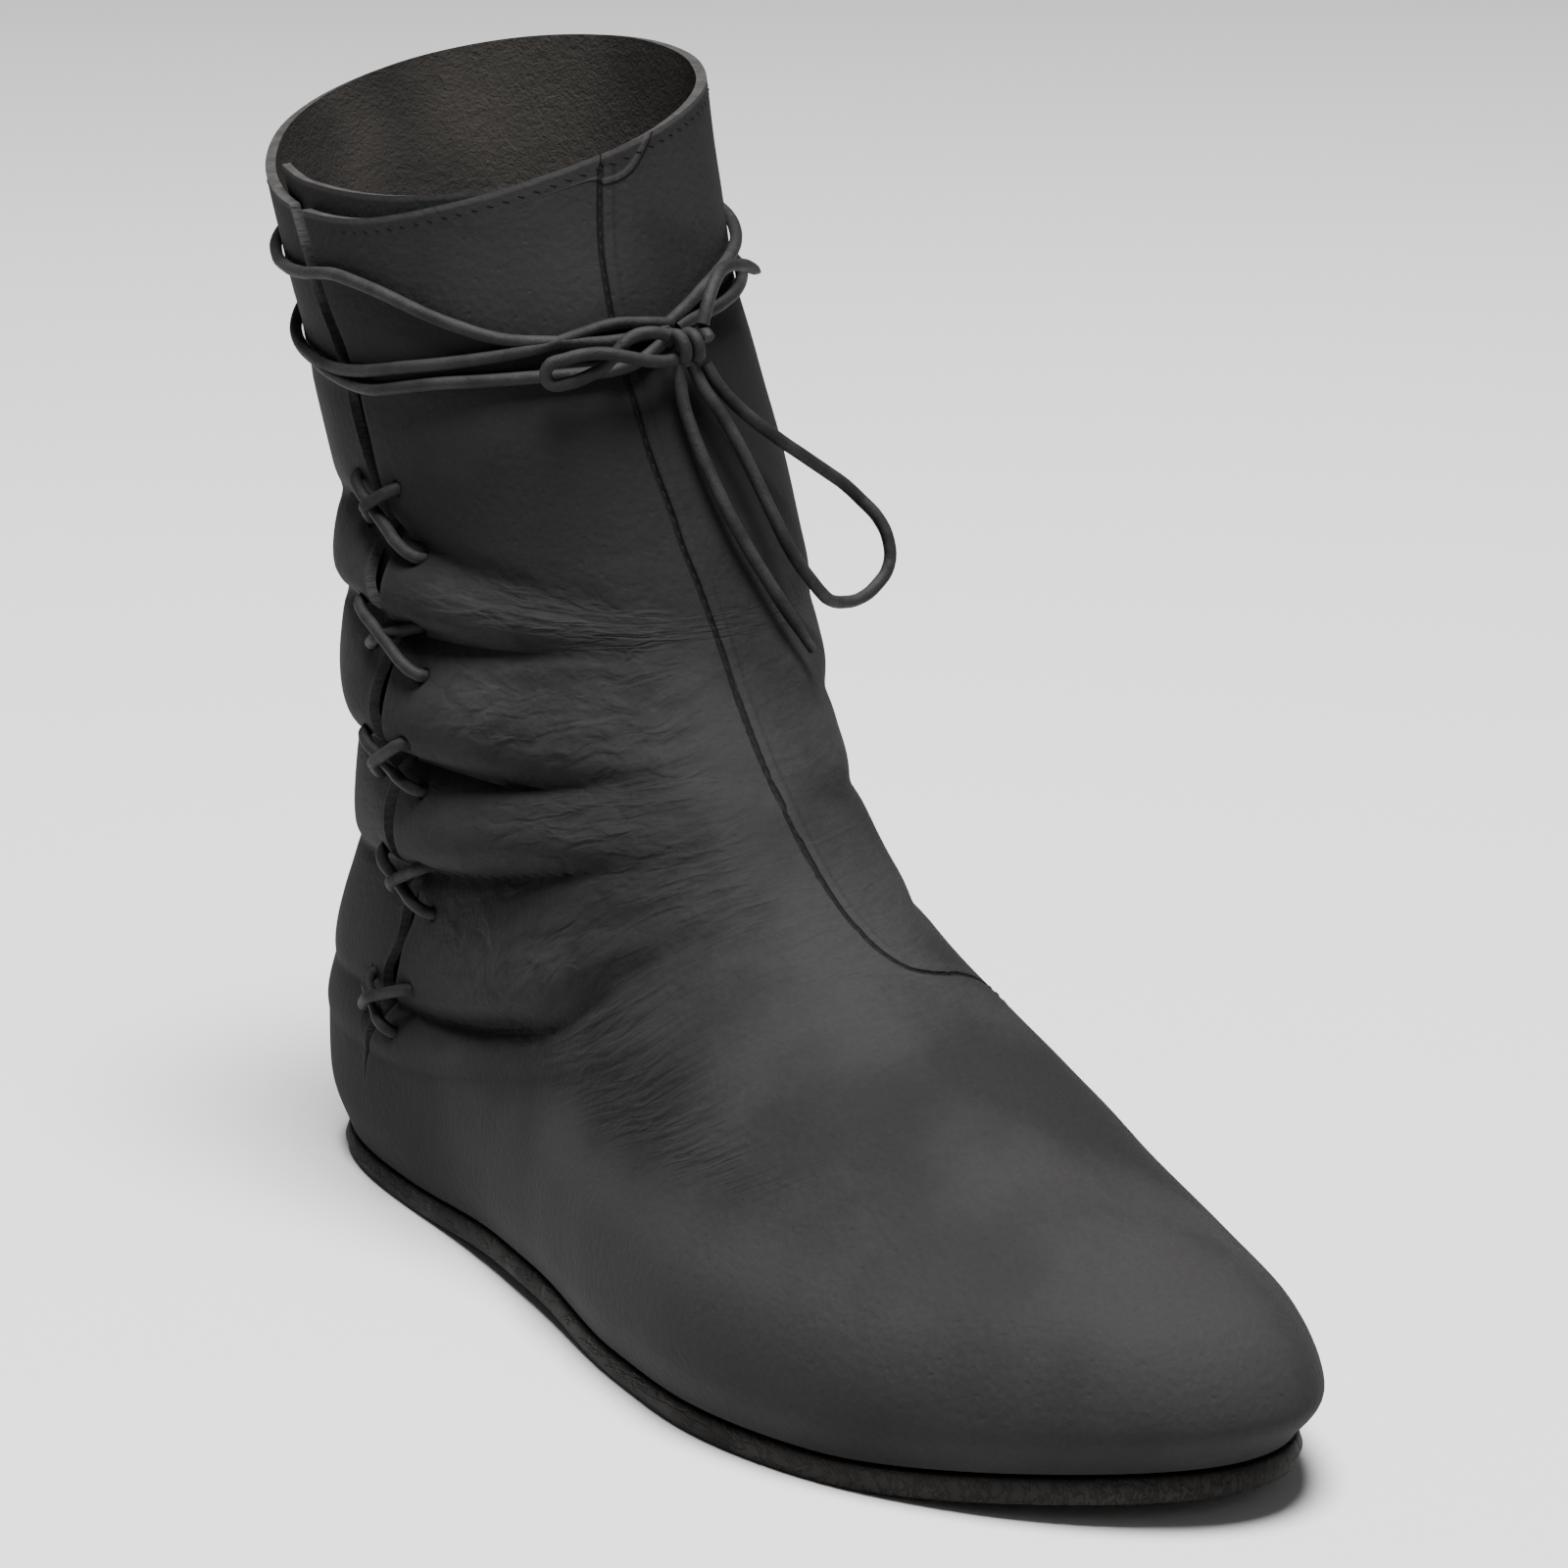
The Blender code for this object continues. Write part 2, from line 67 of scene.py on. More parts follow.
# Widths of the foot either side of its long axis: share of the length, outer, inner
planRows = [
    (0.00, 0.330, 0.290), (0.14, 0.345, 0.318), (0.30, 0.358, 0.300),
    (0.45, 0.405, 0.320), (0.60, 0.465, 0.420), (0.70, 0.480, 0.460),
    (0.80, 0.430, 0.465), (0.90, 0.320, 0.448), (1.00, 0.180, 0.420),
]
# Rings from the sole's edge to above the collar, as in the solid model
ringColumns = ("backX", "frontX", "backZ", "frontZ", "spread", "shaft",
               "outer", "inner", "heelRound", "toeRound", "dip")
ringRows = [
    (0.012, 0.980, 0.027, 0.027, 0.94, 0.0, 0.37, 0.35, 0.064, 0.075, 0.000),
    (-0.004, 1.000, 0.072, 0.070, 1.00, 0.0, 0.37, 0.35, 0.064, 0.078, 0.000),
    (-0.006, 0.968, 0.132, 0.136, 1.00, 0.0, 0.37, 0.35, 0.064, 0.095, 0.000),
    (-0.004, 0.870, 0.192, 0.205, 0.96, 0.0, 0.37, 0.35, 0.064, 0.125, 0.000),
    (0.003, 0.780, 0.253, 0.268, 0.91, 0.1, 0.37, 0.36, 0.064, 0.125, 0.000),
    (0.012, 0.645, 0.323, 0.353, 0.88, 0.4, 0.37, 0.37, 0.070, 0.125, 0.000),
    (0.021, 0.512, 0.424, 0.475, 0.84, 0.8, 0.365, 0.385, 0.070, 0.117, 0.000),
    (0.018, 0.435, 0.545, 0.580, 0.80, 1.0, 0.355, 0.400, 0.070, 0.117, 0.003),
    (0.004, 0.385, 0.705, 0.720, 0.80, 1.0, 0.345, 0.395, 0.070, 0.117, 0.012),
    (-0.024, 0.335, 0.870, 0.868, 0.80, 1.0, 0.370, 0.365, 0.070, 0.117, 0.030),
    (-0.055, 0.295, 1.030, 1.003, 0.80, 1.0, 0.385, 0.375, 0.070, 0.117, 0.054),
    (-0.062, 0.280, 1.130, 1.103, 0.80, 1.0, 0.390, 0.380, 0.070, 0.117, 0.058),
]
# Height of the collar's edge round the leg: degrees from the heel, ring level
collarRows = [(0, 10.00), (45, 9.97), (80, 9.86), (110, 9.87), (140, 10.00), (170, 10.09),
              (200, 10.09), (250, 10.03), (300, 10.00), (360, 10.00)]
# Slit on the outer side: ring level, and how far forward as a share of the foot length
slitRows = [(1.0, 0.160), (2.0, 0.168), (3.0, 0.190), (4.8, 0.222), (6.0, 0.230), (7.0, 0.233),
            (8.0, 0.205), (8.8, 0.172), (9.4, 0.140), (10.0, 0.118), (11.0, 0.095)]


def smoothTable(positions, values, at):
    positions = np.asarray(positions, float)
    values = np.asarray(values, float)
    at = np.clip(np.asarray(at, float), positions[0], positions[-1])
    slopes = np.gradient(values, positions)
    i = np.clip(np.searchsorted(positions, at, side="right") - 1, 0, len(positions) - 2)
    step = positions[i + 1] - positions[i]
    t = (at - positions[i]) / step
    return ((2 * t**3 - 3 * t**2 + 1) * values[i] + (t**3 - 2 * t**2 + t) * step * slopes[i]
            + (3 * t**2 - 2 * t**3) * values[i + 1] + (t**3 - t**2) * step * slopes[i + 1])


def easeStep(low, high, x):
    t = np.clip((np.asarray(x, float) - low) / (high - low), 0.0, 1.0)
    return t * t * (3.0 - 2.0 * t)


def soleRise(x):
    share = np.asarray(x, float) / boot["footLength"]
    arch = easeStep(0.22, 0.38, share) * (1.0 - easeStep(0.44, 0.58, share))
    return boot["archRise"] * arch + boot["toeSpring"] * easeStep(0.80, 1.02, share)


@lru_cache(maxsize=None)
def ringValues(level):
    table = np.array(ringRows)
    return {key: float(smoothTable(np.arange(len(table)), table[:, k], level))
            for k, key in enumerate(ringColumns)}


def formPoints(level, angle):  # before the shift to the middle of the boot
    ring = ringValues(level)
    angle = np.asarray(angle, float)
    backX = ring["backX"] * boot["footLength"]
    frontX = ring["frontX"] * boot["footLength"]
    along = (1.0 - np.cos(angle)) / 2.0
    x = backX + (frontX - backX) * along
    share = np.clip(x / boot["footLength"], 0.0, 1.0)
    plan = np.array(planRows)
    outer = smoothTable(plan[:, 0], plan[:, 1], share) * boot["ballWidth"] * ring["spread"]
    inner = smoothTable(plan[:, 0], plan[:, 2], share) * boot["ballWidth"] * ring["spread"]
    heelEnd = 1.0 - np.exp(-np.maximum(x - backX, 0.0) / (ring["heelRound"] * boot["footLength"]))
    toeEnd = 1.0 - np.exp(-np.maximum(frontX - x, 0.0) / (ring["toeRound"] * boot["footLength"]))
    side = np.where(np.sin(angle) >= 0.0, -1.0, 1.0)
    foot = (inner - outer) / 2 + side * (inner + outer) / 2 * np.sqrt(heelEnd * toeEnd)
    shaftOuter = ring["outer"] * boot["ballWidth"]
    shaftInner = ring["inner"] * boot["ballWidth"]
    shaft = (shaftInner - shaftOuter) / 2 - (shaftInner + shaftOuter) / 2 * np.sin(angle)
    y = foot * (1.0 - ring["shaft"]) + shaft * ring["shaft"]
    height = ring["backZ"] + (ring["frontZ"] - ring["backZ"]) * along
    z = (height - ring["dip"] * np.sin(angle)) * boot["shaftHeight"]
    z = z + soleRise(x) * (1.0 - easeStep(0.2, 0.5, z / boot["shaftHeight"]))
    return np.stack([x, y, z], axis=-1)


def edgeLift(level, angle):  # how far rows near the collar leave their level to follow its edge
    edge = np.array(collarRows)
    rise = smoothTable(edge[:, 0], edge[:, 1], np.degrees(angle) % 360.0) - 10.0
    return rise * float(easeStep(8.6, 10.0, level))


def insetRing(points, inset):  # a closed ring moved inwards in plan
    run = np.roll(points, -1, axis=0) - np.roll(points, 1, axis=0)
    inward = np.stack([run[:, 1], -run[:, 0]], axis=1)
    inward /= np.linalg.norm(inward, axis=1, keepdims=True)
    centre = points[:, :2].mean(axis=0)
    if np.sum(inward * (centre - points[:, :2])) < 0:
        inward = -inward
    moved = points.copy()
    moved[:, :2] += inset * inward
    return moved


# The frame's origin is under the middle of the solids: found from the outsole's own box
roundAngles = np.linspace(0.0, 2 * math.pi, 64, endpoint=False)
formOutline = insetRing(formPoints(0.0, roundAngles), -0.0006)
soleLow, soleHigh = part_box("outsole")
shift = np.array([soleLow.x - formOutline[:, 0].min(), soleLow.y - formOutline[:, 1].min(), 0.0])


def ringPoints(level, angle):
    return formPoints(level, angle) + shift


def ringNormals(level, angle):  # outward
    step = 1e-3
    acrossRing = formPoints(level, angle + step) - formPoints(level, angle - step)
    upward = formPoints(level + step, angle) - formPoints(level - step, angle)
    normal = np.cross(acrossRing, upward)
    return normal / np.linalg.norm(normal, axis=-1, keepdims=True)


def slitAngle(level):
    slit = np.array(slitRows)
    ring = ringValues(level)
    forward = float(smoothTable(slit[:, 0], slit[:, 1], level))
    along = (forward - ring["backX"]) / (ring["frontX"] - ring["backX"])
    return math.acos(1.0 - 2.0 * along)


def ringSpeed(level, angle):  # metres per radian round the boot
    step = 1e-3
    ends = formPoints(level, np.array([angle - step, angle + step]))
    return float(np.linalg.norm(ends[1] - ends[0])) / (2 * step)


# Folds of the leather, with a column for each angle in "degrees".
# Each line of levels is a crease that the laces pull in; the leather swells out between two.
folds = {
    "degrees": (10, 40, 60, 75, 90, 110, 130, 150, 172),
    "creaseLevels": [
        (2.10, 2.10, 2.20, 2.50, 3.00, 3.90, 4.55, 4.95, 5.15),
        (2.95, 3.00, 3.08, 3.24, 3.70, 4.44, 5.00, 5.30, 5.45),
        (4.80, 4.88, 4.95, 5.04, 5.18, 5.40, 5.56, 5.68, 5.78),
        (5.98, 6.03, 6.06, 6.04, 6.01, 6.02, 6.08, 6.16, 6.26),
        (7.08, 7.14, 7.20, 7.19, 7.14, 7.09, 7.08, 7.09, 7.12),
        (7.66, 7.72, 7.80, 7.82, 7.76, 7.62, 7.50, 7.38, 7.30),
        (8.50, 8.56, 8.60, 8.62, 8.60, 8.56, 8.50, 8.44, 8.40),
    ],
    "swellings": [  # millimetres, between one crease and the next above it
        (0.1, 0.6, 1.0, 1.4, 1.4, 0.8, 0.3, 0.1, 0.0),
        (0.3, 1.3, 2.5, 4.0, 4.2, 2.6, 1.0, 0.3, 0.0),
        (0.4, 1.8, 3.3, 5.4, 6.0, 4.5, 2.3, 0.8, 0.1),
        (0.4, 1.8, 3.4, 5.6, 6.2, 4.9, 2.6, 0.9, 0.1),
        (0.3, 1.5, 2.7, 4.5, 5.4, 4.5, 2.4, 0.9, 0.1),
        (0.1, 0.6, 1.0, 1.5, 1.5, 1.0, 0.5, 0.2, 0.0),
    ],
    "pinched": (0.0, 0.4, 1.1, 1.8, 2.0, 1.6, 0.9, 0.4, 0.1),  # extra depth of each crease
    "pinchHalf": 1.9,    # half width of that, millimetres
    "shares": (0.0, 0.8, 1.0, 1.1, 1.1, 0.8, 0.2),  # of that depth, crease by crease
    "crest": 0.36,       # how far up from the lower crease the swelling is fullest
    "sunkBy": 0.34,      # share of the swelling by which the whole band is drawn in
}
# Lesser creases: (angle, level) points, depth and half width in millimetres
creases = {
    "fanLow": ([(68, 2.71), (84, 3.50), (104, 4.36), (127, 4.98), (148, 5.30)], 0.55, 1.7),
    "fanMiddle": ([(82, 4.20), (104, 4.84), (125, 5.20), (146, 5.45)], 0.50, 1.6),
    "fanFoot": ([(72, 2.45), (88, 3.18), (111, 4.20), (136, 4.80)], 0.45, 2.0),
    "fanHigh": ([(98, 5.72), (118, 5.80), (140, 5.88), (162, 5.98)], 0.45, 1.5),
    "shinLine": ([(104, 7.56), (118, 7.46), (136, 7.34), (152, 7.24)], 0.50, 1.6),
    "shinLow": ([(96, 7.34), (114, 7.26), (134, 7.20), (156, 7.16)], 0.35, 1.4),
    "ankleLine": ([(118, 6.42), (136, 6.40), (152, 6.44), (168, 6.52)], 0.40, 1.3),
    "bendOne": ([(186, 6.05), (206, 5.92), (232, 5.92), (262, 6.10)], 1.00, 3.2),
    "bendTwo": ([(190, 6.70), (212, 6.55), (240, 6.58), (276, 6.86)], 0.90, 3.4),
    "bendThree": ([(196, 5.30), (220, 5.22), (246, 5.34), (276, 5.62)], 0.80, 3.0),
    "bendFour": ([(196, 7.30), (220, 7.16), (250, 7.24), (284, 7.46)], 0.60, 3.2),
    "heelOne": ([(300, 6.50), (325, 6.66), (350, 6.70), (378, 6.60)], 0.70, 3.0),
    "heelTwo": ([(306, 7.36), (330, 7.44), (356, 7.46), (384, 7.36)], 0.50, 3.0),
    "heelThree": ([(312, 5.70), (334, 5.86), (358, 5.92), (384, 5.84)], 0.50, 2.6),
}


def ringClimb(level, angle):  # metres of leather per ring level
    rise = formPoints(level + 0.05, angle) - formPoints(level - 0.05, angle)
    return np.linalg.norm(rise, axis=-1) / 0.1


def foldHeight(level, angle):
    degrees = np.degrees(np.asarray(angle, float)) % 360.0
    onFolds = np.clip(degrees, folds["degrees"][0], folds["degrees"][-1])
    lines = [smoothTable(folds["degrees"], row, onFolds) for row in folds["creaseLevels"]]
    nearSlit = easeStep(2.0, 30.0, degrees) * (1.0 - easeStep(165.0, 178.0, degrees))
    height = np.zeros_like(degrees)
    power = math.log(0.5) / math.log(folds["crest"])
    for k, row in enumerate(folds["swellings"]):
        t = np.clip((level - lines[k]) / (lines[k + 1] - lines[k]), 0.0, 1.0)
        full = np.clip(smoothTable(folds["degrees"], row, onFolds), 0.0, None)
        swell = np.sin(math.pi * t**power)
        height += full * (swell**1.8 if k == 0 else swell)
    deepest = np.max([smoothTable(folds["degrees"], row, onFolds) for row in folds["swellings"]],
                     axis=0)
    band = easeStep(2.2, 3.4, level) * (1.0 - easeStep(7.7, 8.7, level))
    climb = ringClimb(level, angle) * 1000.0
    pinch = smoothTable(folds["degrees"], folds["pinched"], onFolds)
    for line, share in zip(lines, folds["shares"]):
        height -= share * pinch * np.exp(-((level - line) * climb / folds["pinchHalf"]) ** 2)
    return (height - folds["sunkBy"] * deepest * band) * nearSlit * 0.001


def foldFlow(level, angle):  # a height whose lines run along the creases, in millimetres
    degrees = np.clip(np.degrees(np.asarray(angle, float)) % 360.0,
                      folds["degrees"][0], folds["degrees"][-1])
    lines = np.array([smoothTable(folds["degrees"], row, degrees) for row in folds["creaseLevels"]])
    flow = np.zeros_like(degrees)
    for k, line in enumerate(lines):
        above = lines[k + 1] if k + 1 < len(lines) else line + 1.0
        t = (level - line) / (above - line)
        low = -9.0 if k == 0 else 0.0
        flow += np.clip(t, low, 9.0 if k + 1 == len(lines) else 1.0)
    return flow * 22.0


def creaseDepth(level, angle, climb):
    degrees = np.degrees(np.asarray(angle, float)) % 360.0
    depth = np.zeros_like(degrees)
    for points, deep, half in creases.values():
        table = np.array(points, float)
        at = np.where(degrees < table[0, 0] - 180.0, degrees + 360.0, degrees)
        line = smoothTable(table[:, 0], table[:, 1], at)
        reach = table[-1, 0] - table[0, 0]
        fade = easeStep(table[0, 0] - 2, table[0, 0] + 0.3 * reach, at)
        fade = fade * (1.0 - easeStep(table[-1, 0] - 0.3 * reach, table[-1, 0] + 2, at))
        away = (level - line) * climb * 1000.0
        rim = 0.30 * np.exp(-((away - 2.0 * half) / (1.2 * half)) ** 2)
        depth += deep * fade * (np.exp(-(away / half) ** 2) - rim)
    return depth * 0.001


def leatherRelief(level, angle):  # how far the leather stands off the plain form
    angle = np.atleast_1d(np.asarray(angle, float))
    points = formPoints(level, angle)
    soft = np.array([0.55 * noise.noise(Vector(p) * 26.0 + Vector((3.1, 0.4, 7.7)))
                     + 0.22 * noise.noise(Vector(p) * 74.0) for p in points]) * 0.001
    onLeg = float(easeStep(0.4, 2.0, level))
    pinch = 0.5 * math.exp(-((level - 8.9) / 0.20) ** 2) * 0.001
    relief = foldHeight(level, angle) - creaseDepth(level, angle, ringClimb(level, angle))
    return relief + soft * onLeg - pinch


def leatherPoints(level, angle, lift=0.0):
    angle = np.atleast_1d(np.asarray(angle, float))
    off = leatherRelief(level, angle) + lift
    plain = ringPoints(level, angle)
    climbing = (ringPoints(level + 0.05, angle) - plain) / 0.05
    return (plain + off[:, None] * ringNormals(level, angle)
            + edgeLift(level, angle)[:, None] * climbing)


def leatherSpot(level, angle, lift=0.0):
    return leatherPoints(level, np.array([angle]), lift)[0]


# Camera: the photograph's place and tilt, turned to the boot's middle and framed on it
view = {
    "place": (0.96057, -0.52275, 0.36821),
    "aim": (0.0087, 0.0039, 0.0956),
    "upright": (-0.2095, 0.1213, 0.9703),
    "photoLens": 126.3,  # at which the photograph's own framing is met
    "closer": 1.15,
}
place = Vector(view["place"])
backward = (place - Vector(view["aim"])).normalized()
rightward = Vector(view["upright"]).cross(backward).normalized()
upward = backward.cross(rightward)
bpy.ops.object.select_all(action="DESELECT")
bpy.ops.object.camera_add(location=place)
camera = bpy.context.object
camera.name = "photo_camera"
camera.matrix_world = Matrix.Translation(place) @ Matrix(
    [(rightward[k], upward[k], backward[k]) for k in range(3)]).to_4x4()
camera.data.sensor_width = 36.0
camera.data.lens = view["photoLens"] * view["closer"]
camera.data.clip_start = 0.01
bpy.context.scene.camera = camera
print("camera set")


# Shader sums are written as plain expressions on sockets
class Number:
    def __init__(self, tree, socket):
        self.tree = tree
        self.socket = socket

    def sum(self, operation, *values):
        node = self.tree.nodes.new("ShaderNodeMath")
        node.operation = operation
        for slot, value in zip(node.inputs, values):
            if isinstance(value, Number):
                self.tree.links.new(value.socket, slot)
            else:
                slot.default_value = value
        return Number(self.tree, node.outputs[0])

    def __add__(self, other):
        return self.sum("ADD", self, other)

    def __radd__(self, other):
        return self.sum("ADD", other, self)

    def __sub__(self, other):
        return self.sum("SUBTRACT", self, other)

    def __rsub__(self, other):
        return self.sum("SUBTRACT", other, self)

    def __mul__(self, other):
        return self.sum("MULTIPLY", self, other)

    def __rmul__(self, other):
        return self.sum("MULTIPLY", other, self)

    def __abs__(self):
        return self.sum("ABSOLUTE", self)


class Finish:
    def __init__(self, name, **constants):
        self.material = bpy.data.materials.new(name)
        self.material.use_nodes = True
        self.tree = self.material.node_tree
        self.shader = self.tree.nodes["Principled BSDF"]
        for key, value in constants.items():
            self.shader.inputs[key].default_value = value
        self.spot = self.node("ShaderNodeTexCoord", {}, {}, "Object")

    def node(self, kind, settings, values, output=0):
        node = self.tree.nodes.new(kind)
        for key, value in settings.items():
            setattr(node, key, value)
        for key, value in values.items():
            if isinstance(value, Number):
                self.tree.links.new(value.socket, node.inputs[key])
            else:
                node.inputs[key].default_value = value
        return Number(self.tree, node.outputs[output])

    def noise(self, scale, detail=2.0, spot=None, rough=0.5, warp=0.0):
        return self.node("ShaderNodeTexNoise", {}, {
            "Vector": spot or self.spot, "Scale": scale, "Detail": detail,
            "Roughness": rough, "Distortion": warp})

    def stretched(self, turn, scale):
        return self.node("ShaderNodeMapping", {}, {
            "Vector": self.spot, "Rotation": turn, "Scale": scale})

    def attribute(self, name):
        return self.node("ShaderNodeAttribute", {"attribute_name": name}, {}, "Fac")

    def ease(self, value, low, high, first=0.0, last=1.0):
        return self.node("ShaderNodeMapRange", {"interpolation_type": "SMOOTHSTEP"}, {
            "Value": value, "From Min": low, "From Max": high, "To Min": first, "To Max": last})

    def mix(self, share, first, second):
        return self.node("ShaderNodeMix", {"data_type": "RGBA"}, {
            0: share, 6: first if isinstance(first, Number) else (*first, 1.0),
            7: second if isinstance(second, Number) else (*second, 1.0)}, 2)

    def dim(self, colour, factor):  # a colour times a number
        grey = self.node("ShaderNodeCombineColor", {}, {0: factor, 1: factor, 2: factor})
        return self.node("ShaderNodeMix", {"data_type": "RGBA", "blend_type": "MULTIPLY"},
                         {0: 1.0, 6: colour, 7: grey}, 2)

    def bump(self, height, distance, below=None):
        values = {"Strength": 1.0, "Distance": distance, "Height": height}
        if below:
            values["Normal"] = below
        return self.node("ShaderNodeBump", {}, values)

    def paint(self, **sockets):
        for key, value in sockets.items():
            self.tree.links.new(value.socket, self.shader.inputs[key.replace("_", " ")])
        return self.material


# Making helpers
def newGrid(name, columns, rows):
    bpy.ops.object.select_all(action="DESELECT")
    bpy.ops.mesh.primitive_grid_add(x_subdivisions=columns - 1, y_subdivisions=rows - 1,
                                    size=1.0, location=(0.0, 0.0, 0.0), calc_uvs=True)
    item = bpy.context.object
    item.name = name
    item.data.name = name
    return item


def gridOrder(item, columns, rows):  # column and row of each point of a fresh grid
    flat = np.zeros(len(item.data.vertices) * 3)
    item.data.vertices.foreach_get("co", flat)
    flat = flat.reshape(-1, 3)
    column = np.rint((flat[:, 0] + 0.5) * (columns - 1)).astype(int)
    row = np.rint((flat[:, 1] + 0.5) * (rows - 1)).astype(int)
    return row, column


def drape(item, order, places):
    item.data.vertices.foreach_set("co", places[order[0], order[1]].astype(float).ravel())
    item.data.update()


def tag(item, order, name, values):
    layer = item.data.attributes.new(name, "FLOAT", "POINT")
    layer.data.foreach_set("value", values[order[0], order[1]].astype(np.float32))


def faceOutwards(item, probe, outward):  # merges doubles, and turns faces the right way
    bpy.ops.object.mode_set(mode="EDIT")
    bpy.ops.mesh.select_all(action="SELECT")
    bpy.ops.mesh.remove_doubles(threshold=0.00002)
    bpy.ops.mesh.normals_make_consistent(inside=False)
    bpy.ops.object.mode_set(mode="OBJECT")
    near = min(item.data.polygons, key=lambda face: (face.center - Vector(probe)).length_squared)
    if near.normal.dot(Vector(outward)) < 0:
        bpy.ops.object.mode_set(mode="EDIT")
        bpy.ops.mesh.select_all(action="SELECT")
        bpy.ops.mesh.flip_normals()
        bpy.ops.object.mode_set(mode="OBJECT")


def thicken(item, thickness, inner=0, rim=0):
    wall = item.modifiers.new("wall", "SOLIDIFY")
    wall.thickness = thickness
    wall.offset = -1.0
    wall.use_even_offset = True
    wall.use_quality_normals = True
    wall.material_offset = inner
    wall.material_offset_rim = rim
    bpy.ops.object.modifier_apply(modifier="wall")


def choose(items):  # selects just these, with the first one active
    bpy.ops.object.select_all(action="DESELECT")
    for item in items:
        item.select_set(True)
    bpy.context.view_layer.objects.active = items[0]


def smooth(item, degrees):
    choose([item])
    bpy.ops.object.shade_smooth_by_angle(angle=math.radians(degrees))


def settle(item, slotName, *nodes):
    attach(item, "root")
    if nodes:
        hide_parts(*nodes)


# Seam down the front: (ring level, angle), from the collar down and round to the inner side
seam = {
    "line": [(9.93, 178.5), (9.63, 176), (9.36, 174), (9.08, 173), (8.84, 172.5), (8.55, 172),
             (8.27, 171.5), (8.07, 172), (7.89, 173), (7.69, 174), (7.47, 176), (7.27, 177.5),
             (7.05, 178.5), (6.78, 179), (6.43, 179.5), (6.06, 180), (5.76, 180), (5.51, 180.5),
             (5.30, 182), (5.14, 184.5), (5.02, 189), (4.95, 196), (4.88, 205), (4.76, 214),
             (4.58, 222), (4.36, 228), (4.02, 233), (3.50, 237), (2.80, 240), (2.00, 242),
             (1.00, 243), (0.30, 243.5)],
    "corner": [(9.80, 178.5), (9.79, 182), (9.80, 185.5), (9.84, 188.5), (9.92, 192), (10.0, 195)],
    "stitchLength": 0.0015,
    "stitchPitch": 0.0026,
    "stitchRadius": 0.00022,
}


def lineSamples(rows, count):
    table = np.array(rows, float)
    steps = np.arange(len(rows))
    at = np.linspace(0, len(rows) - 1, count)
    levels = smoothTable(steps, table[:, 0], at)
    angles = np.radians(smoothTable(steps, table[:, 1], at))
    points = np.array([ringPoints(level, np.array([angle]))[0]
                       for level, angle in zip(levels, angles)])
    normals = np.array([ringNormals(level, np.array([angle]))[0]
                        for level, angle in zip(levels, angles)])
    return levels, angles, points, normals


def signedDistance(points, line, normals):  # positive on the line's outer side
    tangent = np.gradient(line, axis=0)
    tangent /= np.linalg.norm(tangent, axis=1, keepdims=True)
    sideways = np.cross(normals, tangent)
    gaps = np.linalg.norm(points[:, None, :] - line[None, :, :], axis=2)
    nearest = gaps.argmin(axis=1)
    apart = points - line[nearest]
    sign = np.sign(np.sum(apart * sideways[nearest], axis=1))
    return gaps.min(axis=1) * sign


# Lacing over the slit: for each crossing, the (level, metres from the slit) of its four ends
lacing = {
    "lace_cross_1": ((3.42, 0.0090), (2.62, 0.0085), (3.36, -0.0085), (2.76, -0.0075)),
    "lace_cross_2": ((5.16, 0.0100), (4.62, 0.0110), (5.18, -0.0090), (4.70, -0.0085)),
    "lace_cross_3": ((6.24, 0.0105), (5.82, 0.0125), (6.24, -0.0090), (5.84, -0.0085)),
    "lace_cross_4": ((7.14, 0.0075), (6.80, 0.0130), (7.26, -0.0090), (6.94, -0.0085)),
    "lace_cross_5": ((8.01, 0.0070), (7.58, 0.0105), (8.04, -0.0080), (7.74, -0.0085)),
}


def besideSlit(level, away):  # the angle that is so many metres from the slit
    slit = slitAngle(level)
    return slit + away / ringSpeed(level, slit)


holeSpots = []
for ends in lacing.values():
    for level, away in ends:
        holeSpots.append(ringPoints(level, np.array([besideSlit(level, away)]))[0])
holeSpots = np.array(holeSpots)

# Upper: one sheet of leather from the lip under the insole up to the collar
upper = {
    "columns": 236,
    "rows": 186,
    "lipRows": 7,
    "outerShare": 0.47,     # of the columns, from the slit to the front
    "innerShare": 0.33,
    "rowShares": (0.0, 1.0, 1.0, 2.3, 2.3, 2.3, 2.3, 2.3, 2.1, 1.0, 1.0),  # closer on the folds
    "dimple": 0.0009,       # depth of the leather round a hole
    "dimpleHalf": 0.0016,
    "roundings": 2,
}
soleTop = boot["soleThickness"] + boot["clearance"]


def slitOpening(level):
    if level <= boot["slitFoot"]:
        return 0.0
    wide = boot["slitGap"] * float(easeStep(boot["slitFoot"] - 0.1, 3.2, level))
    pulled = 0.0011 * math.cos(2 * math.pi * (level - 3.05))  # the crossings draw the edges in
    pulled *= float(easeStep(2.4, 3.2, level))
    return wide - pulled * float(1.0 - easeStep(7.9, 8.6, level))


def upperAngles(level):
    slit = slitAngle(level)
    half = slitOpening(level) / 2 / ringSpeed(level, slit)
    outer = int(upper["columns"] * upper["outerShare"])
    inner = int(upper["columns"] * upper["innerShare"])
    heel = upper["columns"] - outer - inner
    return np.concatenate([
        np.linspace(slit + half, math.pi, outer, endpoint=False),
        np.linspace(math.pi, 2 * math.pi, inner, endpoint=False),
        np.linspace(2 * math.pi, 2 * math.pi + slit - half, heel)])


